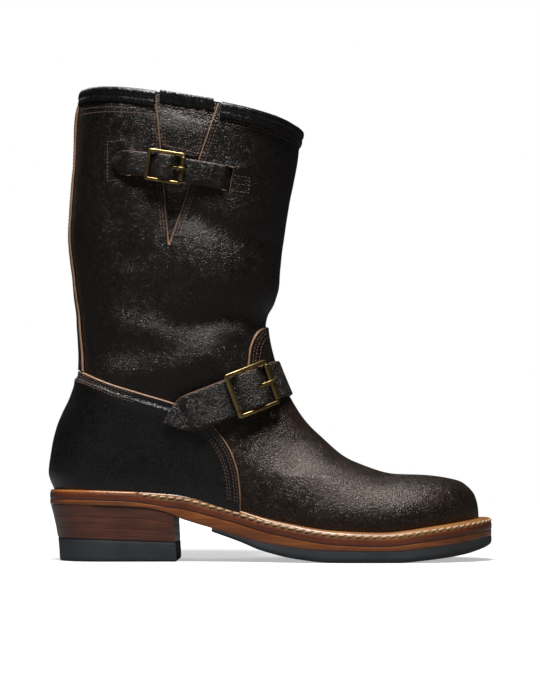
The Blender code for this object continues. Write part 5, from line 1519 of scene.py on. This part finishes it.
def instep_fastening(tree):
    """Strap, chape and buckle over the instep."""
    band = Band(tree, INSTEP_BUCKLE, INSTEP_TILT)
    sizes = INSTEP
    buckle_levels(sizes)
    vamp = LAYER_GAP + UPPER_WALL + 0.5
    heel = vamp + LAYER_GAP + COUNTER_WALL + 0.2
    half = sizes["strap"] / 2
    rows = [(-INSTEP_TIP_REACH, heel + 0.2), (-INSTEP_CHAPE_REACH - 6, heel + 0.5),
            (-INSTEP_CHAPE_REACH - 1.5, heel + sizes["low"] - 0.1), (-26, heel + sizes["low"]),
            (-17, vamp + sizes["low"] + 0.5)]
    rows += [(run, lift + vamp) for run, lift in humped(sizes)]
    end = sizes["length"] / 2
    rows += [(end + 3, vamp + sizes["low"]), (end + 14, vamp + 0.5), (60, vamp + 0.5), (74, heel),
             (INSTEP_END_REACH, heel)]

    def half_of(run):
        tip = pointed(INSTEP_TIP_REACH, INSTEP_TIP_LENGTH, half)(run)
        tail = max(INSTEP_END_REACH - run, 0.0)
        return min(tip, half - 4.0 * max(1 - tail / 8.0, 0.0) ** 2)
    runs = np.concatenate([[-INSTEP_TIP_REACH, -INSTEP_TIP_REACH + 0.3, -INSTEP_TIP_REACH + 0.8],
                           np.arange(-INSTEP_TIP_REACH + 1.6, INSTEP_END_REACH, 1.1), [INSTEP_END_REACH]])
    strap = strap_piece("instep_strap_leather", band, runs, half_of, eased(rows, 3.0), sizes["thick"],
                        ("instep_strap",), 0.3)
    cut_through(strap, [box_along(band, (1.8, 11.4), sizes["prong"] / 2 + 0.3, (4.6, 16.0))], STRAP_EDGE)
    chape = [(-INSTEP_CHAPE_REACH, heel), (-26, heel), (-17, vamp + 0.3), (3.0, vamp)]
    strap_piece("instep_chape_leather", band, np.arange(-INSTEP_CHAPE_REACH, 3.0, 1.2),
                lambda run: half - 0.3, eased(chape, 2.0), CHAPE_THICKNESS, ("instep_chape",), 0.05)
    buckle_frame_piece("instep_buckle_frame_cast", band, sizes, vamp, ("instep_buckle_frame",))
    roller_piece("instep_buckle_roller_tube", band, sizes, vamp, ("instep_buckle_roller",))
    prong_piece("instep_buckle_prong_bent", band, sizes, vamp, ("instep_buckle_prong",))


# Sole unit
EDGE_SHAPE = ((0.6, 0.0), (0.16, 0.10), (0.0, 0.3), (0.0, 0.7), (0.16, 0.90), (0.6, 1.0))


def sole_layer(name, low_of, high_of, inset, finish, replaced, ease=0.45, count=280):
    """Full length layer of the sole with eased edges."""
    turn = np.arange(count) * 2 * math.pi / count
    rings = []
    for away, share in EDGE_SHAPE:
        plan = sole_outline(turn, inset + away * ease)
        low, high = low_of(plan[:, 0]), high_of(plan[:, 0])
        rings.append(np.column_stack([plan, low + (high - low) * share]))
    points, faces = stacked_rings(rings)
    return piece(name, points, faces, [finish], replaced, crisp=50.0)


def half_sole_piece():
    """Rubber under the forefoot, thinned away in the waist."""
    rear = SOLE_LENGTH * RUBBER_BOTTOM["x"][0]
    rear_x = SOLE_LENGTH * SOLE_WIDTH["x"][0]
    fore_x = SOLE_LENGTH * SOLE_WIDTH["x"][-1]
    start = math.acos(1 - 2 * (rear - rear_x) / (fore_x - rear_x))
    count = 130

    def ring(inset, height):
        turn = math.pi - (math.pi - start) * np.arange(count + 1) / count
        outer = sole_outline(turn, inset)
        inner = sole_outline(2 * math.pi - turn[:0:-1], inset)
        plan = np.vstack([outer, inner])
        return np.column_stack([plan, height(plan[:, 0])])
    top_of = lambda x: leather_bottom(x) - SOLE_GAP
    lift_of = lambda x, lift: rubber_bottom(x) + np.minimum(lift, 0.45 * (top_of(x) - rubber_bottom(x)))
    rings = [ring(1.5, rubber_bottom), ring(0.75, lambda x: lift_of(x, 0.3)),
             ring(0.25, lambda x: lift_of(x, 1.1)),
             ring(0.1, lambda x: 0.5 * (top_of(x) + rubber_bottom(x))), ring(0.3, top_of)]
    points, faces = stacked_rings(rings)
    piece("half_sole_rubber", points, faces, [RUBBER_FINISH], ("half_sole",), crisp=50.0)


def heel_ring(level, height_of, ease=0.0, count=54):
    """D-shaped ring of the heel at a share from the floor (0) to the seat (1)."""
    taper = HEEL_TAPER * (1 - level ** 1.6)
    rear = SOLE_LENGTH * SOLE_WIDTH["x"][0] + 0.4 + taper + ease
    breast = 0.1393 * SOLE_LENGTH - 1.9 * level - ease
    half = HEEL_WIDTH / 2 - 0.4 * taper - ease
    turn = np.arange(count + 1) / count * math.pi / 2
    x = rear + (breast - rear) * (1 - np.cos(turn))
    y = half * rounded(x - rear, half, 2.1)
    narrow = 1 - 0.03 * step01((x - rear) / (breast - rear) * 2 - 1)
    outer = np.column_stack([x, -y * narrow])
    inner = np.column_stack([x, y * narrow])[:0:-1]
    plan = np.vstack([outer, inner])
    return np.column_stack([plan, height_of(plan[:, 0])])


def top_lift_height(x):
    share = (x / SOLE_LENGTH + 0.13) / 0.27
    return TOP_LIFT_BACK + (TOP_LIFT_BREAST - TOP_LIFT_BACK) * share


def heel_lift(name, first, final, low_of, high_of, finish, replaced, ease):
    """One lift of the heel with softly broken edges."""
    rings = []
    for share, away in ((0.0, ease), (0.06, ease * 0.3), (0.16, 0.0), (0.5, 0.0), (0.84, 0.0),
                        (0.94, ease * 0.3), (1.0, ease)):
        height = lambda x, s=share: low_of(x) + (high_of(x) - low_of(x)) * s
        rings.append(heel_ring(first + (final - first) * share, height, away))
    points, faces = stacked_rings(rings)
    piece(name, points, faces, [finish], replaced, crisp=50.0)


def heel():
    heel_lift("heel_top_lift_rubber", 0.0, 0.38, lambda x: 0 * x, top_lift_height, RUBBER_FINISH,
              ("heel_top_lift",), 0.5)
    for k in range(HEEL_LIFT_COUNT):
        def edge(part, k=k):
            share = (k + part) / HEEL_LIFT_COUNT
            return lambda x: (top_lift_height(x) * (1 - share) + (leather_bottom(x) - LAYER_GAP) * share
                              + SOLE_GAP * (1 - part))
        first = 0.40 + 0.58 * k / HEEL_LIFT_COUNT
        final = 0.40 + 0.58 * (k + 1) / HEEL_LIFT_COUNT
        heel_lift("heel_lift_leather_%d" % (k + 1), first, final, edge(0.0), edge(1.0), STACK_FINISH,
                  ("heel_lift_%d" % (k + 1),), 0.10)


WELT_PROFILE = table(("across", "drop"), (
    (0.00, 0.00), (0.25, 0.02), (0.45, 0.05), (0.60, 0.10), (0.72, 0.17), (0.82, 0.27), (0.89, 0.38),
    (0.945, 0.52), (0.98, 0.72), (1.00, 1.00),
))
WELT_START = 0.055


def welt_line(turn, across):
    """Line along the welt at a share of its width, with its outward direction."""
    inner = last_outline(turn, LAYER_GAP + UPPER_WALL + 0.6)
    outer = sole_outline(turn, 0.25)
    plan = inner + (outer - inner) * across
    x = plan[:, 0]
    drop = float(np.interp(across, WELT_PROFILE["across"], WELT_PROFILE["drop"]))
    z = feather(x) - LAYER_GAP - drop * (welt_thickness(x) - LAYER_GAP)
    outward = unit(outer - inner)
    return np.column_stack([plan, z]), np.column_stack([outward, np.full(len(x), 0.9)])


def welt_piece(name, first, final, count, finish, replaced):
    turn = np.linspace(first, final, count)
    seat = last_outline(turn, -3.4)
    over = [np.column_stack([seat, feather(seat[:, 0]) - LAYER_GAP])]
    over += [welt_line(turn, across)[0] for across in WELT_PROFILE["across"]]
    under = [np.column_stack([row[:, :2], midsole_top(row[:, 0]) + 0.5 * LAYER_GAP]) for row in over]
    over[-1][:, 2] = under[-1][:, 2] + 0.25
    points, faces, _ = sheet(np.array(over), np.array(under))
    piece(name, points, faces, [finish], replaced, crisp=50.0)


def welt_and_stitches():
    first = math.acos(1 - 2 * (WELT_START - SOLE_WIDTH["x"][0]) / (SOLE_WIDTH["x"][-1] - SOLE_WIDTH["x"][0]))
    welt_piece("welt_strip", first, 2 * math.pi - first, 300, WELT_FINISH, ("welt",))
    welt_piece("heel_seat_strip", -first + 0.01, first - 0.01, 110, RAND_FINISH, ("heel_seat_rand",))
    turn = np.linspace(first + 0.02, 2 * math.pi - first - 0.02, 600)
    line, outward = welt_line(turn, 0.95)
    stitching("welt_stitches", [(line, outward)], CREAM_THREAD, length=4.9, pitch=5.6,
              radius=0.95, sink=0.30, slant=0.16)


# Everything of the boot
vamp_and_quarters()
counter_piece()
counter_stitches()
leg = shaft_piece()
gusset_piece()
collar_piece()
gusset_binding_piece()
back_strip_piece()
shaft_stitches()
tab_stitches()
surface = last_tree()
shaft_fastening(surface, leg)
instep_fastening(surface)
sole_layer("midsole_leather", midsole_bottom, midsole_top, 0.0, MIDSOLE_FINISH, ("midsole",))
sole_layer("outsole_leather", leather_bottom, lambda x: midsole_bottom(x) - SOLE_GAP, 0.15, OUTSOLE_FINISH,
           ("outsole",))
half_sole_piece()
heel()
welt_and_stitches()
bpy.data.objects["insole"].data.materials.clear()
bpy.data.objects["insole"].data.materials.append(INSOLE_FINISH)


# Floor, light and camera
WORLD_LIGHT = 0.03
WORLD_SEEN = 1.0
CAMERA_PLACE = (0.105, -1.1, 0.050)
CAMERA_PITCH = 90 + 2.69
CAMERA_LENS = 85.1
CAMERA_SHIFT = 0.11
# Lamps: name, place, target, width, height, power
LAMPS = (
    ("key_light", (0.02, -0.50, 1.42), (0.10, 0.0, 0.12), 0.50, 0.36, 34.0),
    ("top_light", (0.15, 0.05, 1.9), (0.10, 0.0, 0.0), 1.2, 1.2, 7.0),
    ("back_light", (-0.35, 1.0, 1.2), (0.10, 0.0, 0.12), 0.9, 0.7, 5.0),
)


def floor_piece():
    """White paper below the boot, dim in what it throws back on the leather."""
    form = bmesh.new()
    bmesh.ops.create_grid(form, x_segments=40, y_segments=40, size=3.0)
    mesh = bpy.data.meshes.new("studio_floor")
    form.to_mesh(mesh)
    form.free()
    f = Finish("studio_floor_paper")
    fibres = f.noise(300.0, 3.0, 0.5)
    away = f.node("ShaderNodeVectorMath", {"operation": "LENGTH"}, _0=f.place).outputs["Value"]
    glow = f.between(away, 0.25, 0.9, 0.45, 1.0)
    f.join(f.shader.inputs["Emission Color"], f.blend(glow, shade(0.0, 0.0, 0.0), shade(1.0, 1.0, 1.0)))
    white = f.blend(fibres, shade(0.55, 0.55, 0.55), shade(0.58, 0.58, 0.58))
    paper = f.done(white, 0.9, Emission_Strength=1.0)
    dim = f.node("ShaderNodeBsdfDiffuse", Color=shade(0.17, 0.17, 0.17))
    seen = f.node("ShaderNodeLightPath").outputs["Is Camera Ray"]
    both = f.node("ShaderNodeMixShader", _0=seen, _1=dim, _2=f.shader)
    f.join(f.tree.nodes["Material Output"].inputs["Surface"], both)
    mesh.materials.append(paper)
    floor = bpy.data.objects.new("studio_floor", mesh)
    floor.location = (0.1, 0.0, -0.0002)
    bpy.context.scene.collection.objects.link(floor)


def soft_light(name, place, target, width, height, power):
    lamp = bpy.data.lights.new(name, "AREA")
    lamp.shape = "RECTANGLE"
    lamp.size = width
    lamp.size_y = height
    lamp.energy = power
    holder = bpy.data.objects.new(name, lamp)
    holder.location = place
    holder.rotation_euler = (Vector(target) - Vector(place)).to_track_quat("-Z", "Y").to_euler()
    bpy.context.scene.collection.objects.link(holder)


def studio():
    """Floor, lamps, a white world that lights the boot softly, and the camera."""
    floor_piece()
    for lamp in LAMPS:
        soft_light(*lamp)
    world = bpy.data.worlds.new("studio_world")
    bpy.context.scene.world = world
    world.use_nodes = True
    tree = world.node_tree
    back = tree.nodes["Background"]
    back.inputs["Color"].default_value = (1.0, 1.0, 1.0, 1.0)
    back.inputs["Strength"].default_value = WORLD_LIGHT
    seen = tree.nodes.new("ShaderNodeBackground")
    seen.inputs["Color"].default_value = (1.0, 1.0, 1.0, 1.0)
    seen.inputs["Strength"].default_value = WORLD_SEEN
    path = tree.nodes.new("ShaderNodeLightPath")
    pick = tree.nodes.new("ShaderNodeMixShader")
    tree.links.new(path.outputs["Is Camera Ray"], pick.inputs[0])
    tree.links.new(back.outputs[0], pick.inputs[1])
    tree.links.new(seen.outputs[0], pick.inputs[2])
    tree.links.new(pick.outputs[0], tree.nodes["World Output"].inputs["Surface"])
    camera = bpy.data.cameras.new("studio_camera")
    camera.sensor_width = 36.0
    camera.lens = CAMERA_LENS
    camera.shift_y = CAMERA_SHIFT
    holder = bpy.data.objects.new("studio_camera", camera)
    holder.location = CAMERA_PLACE
    holder.rotation_euler = (math.radians(CAMERA_PITCH), 0.0, 0.0)
    bpy.context.scene.collection.objects.link(holder)
    bpy.context.scene.camera = holder
    bpy.context.scene.view_settings.view_transform = "Standard"


studio()
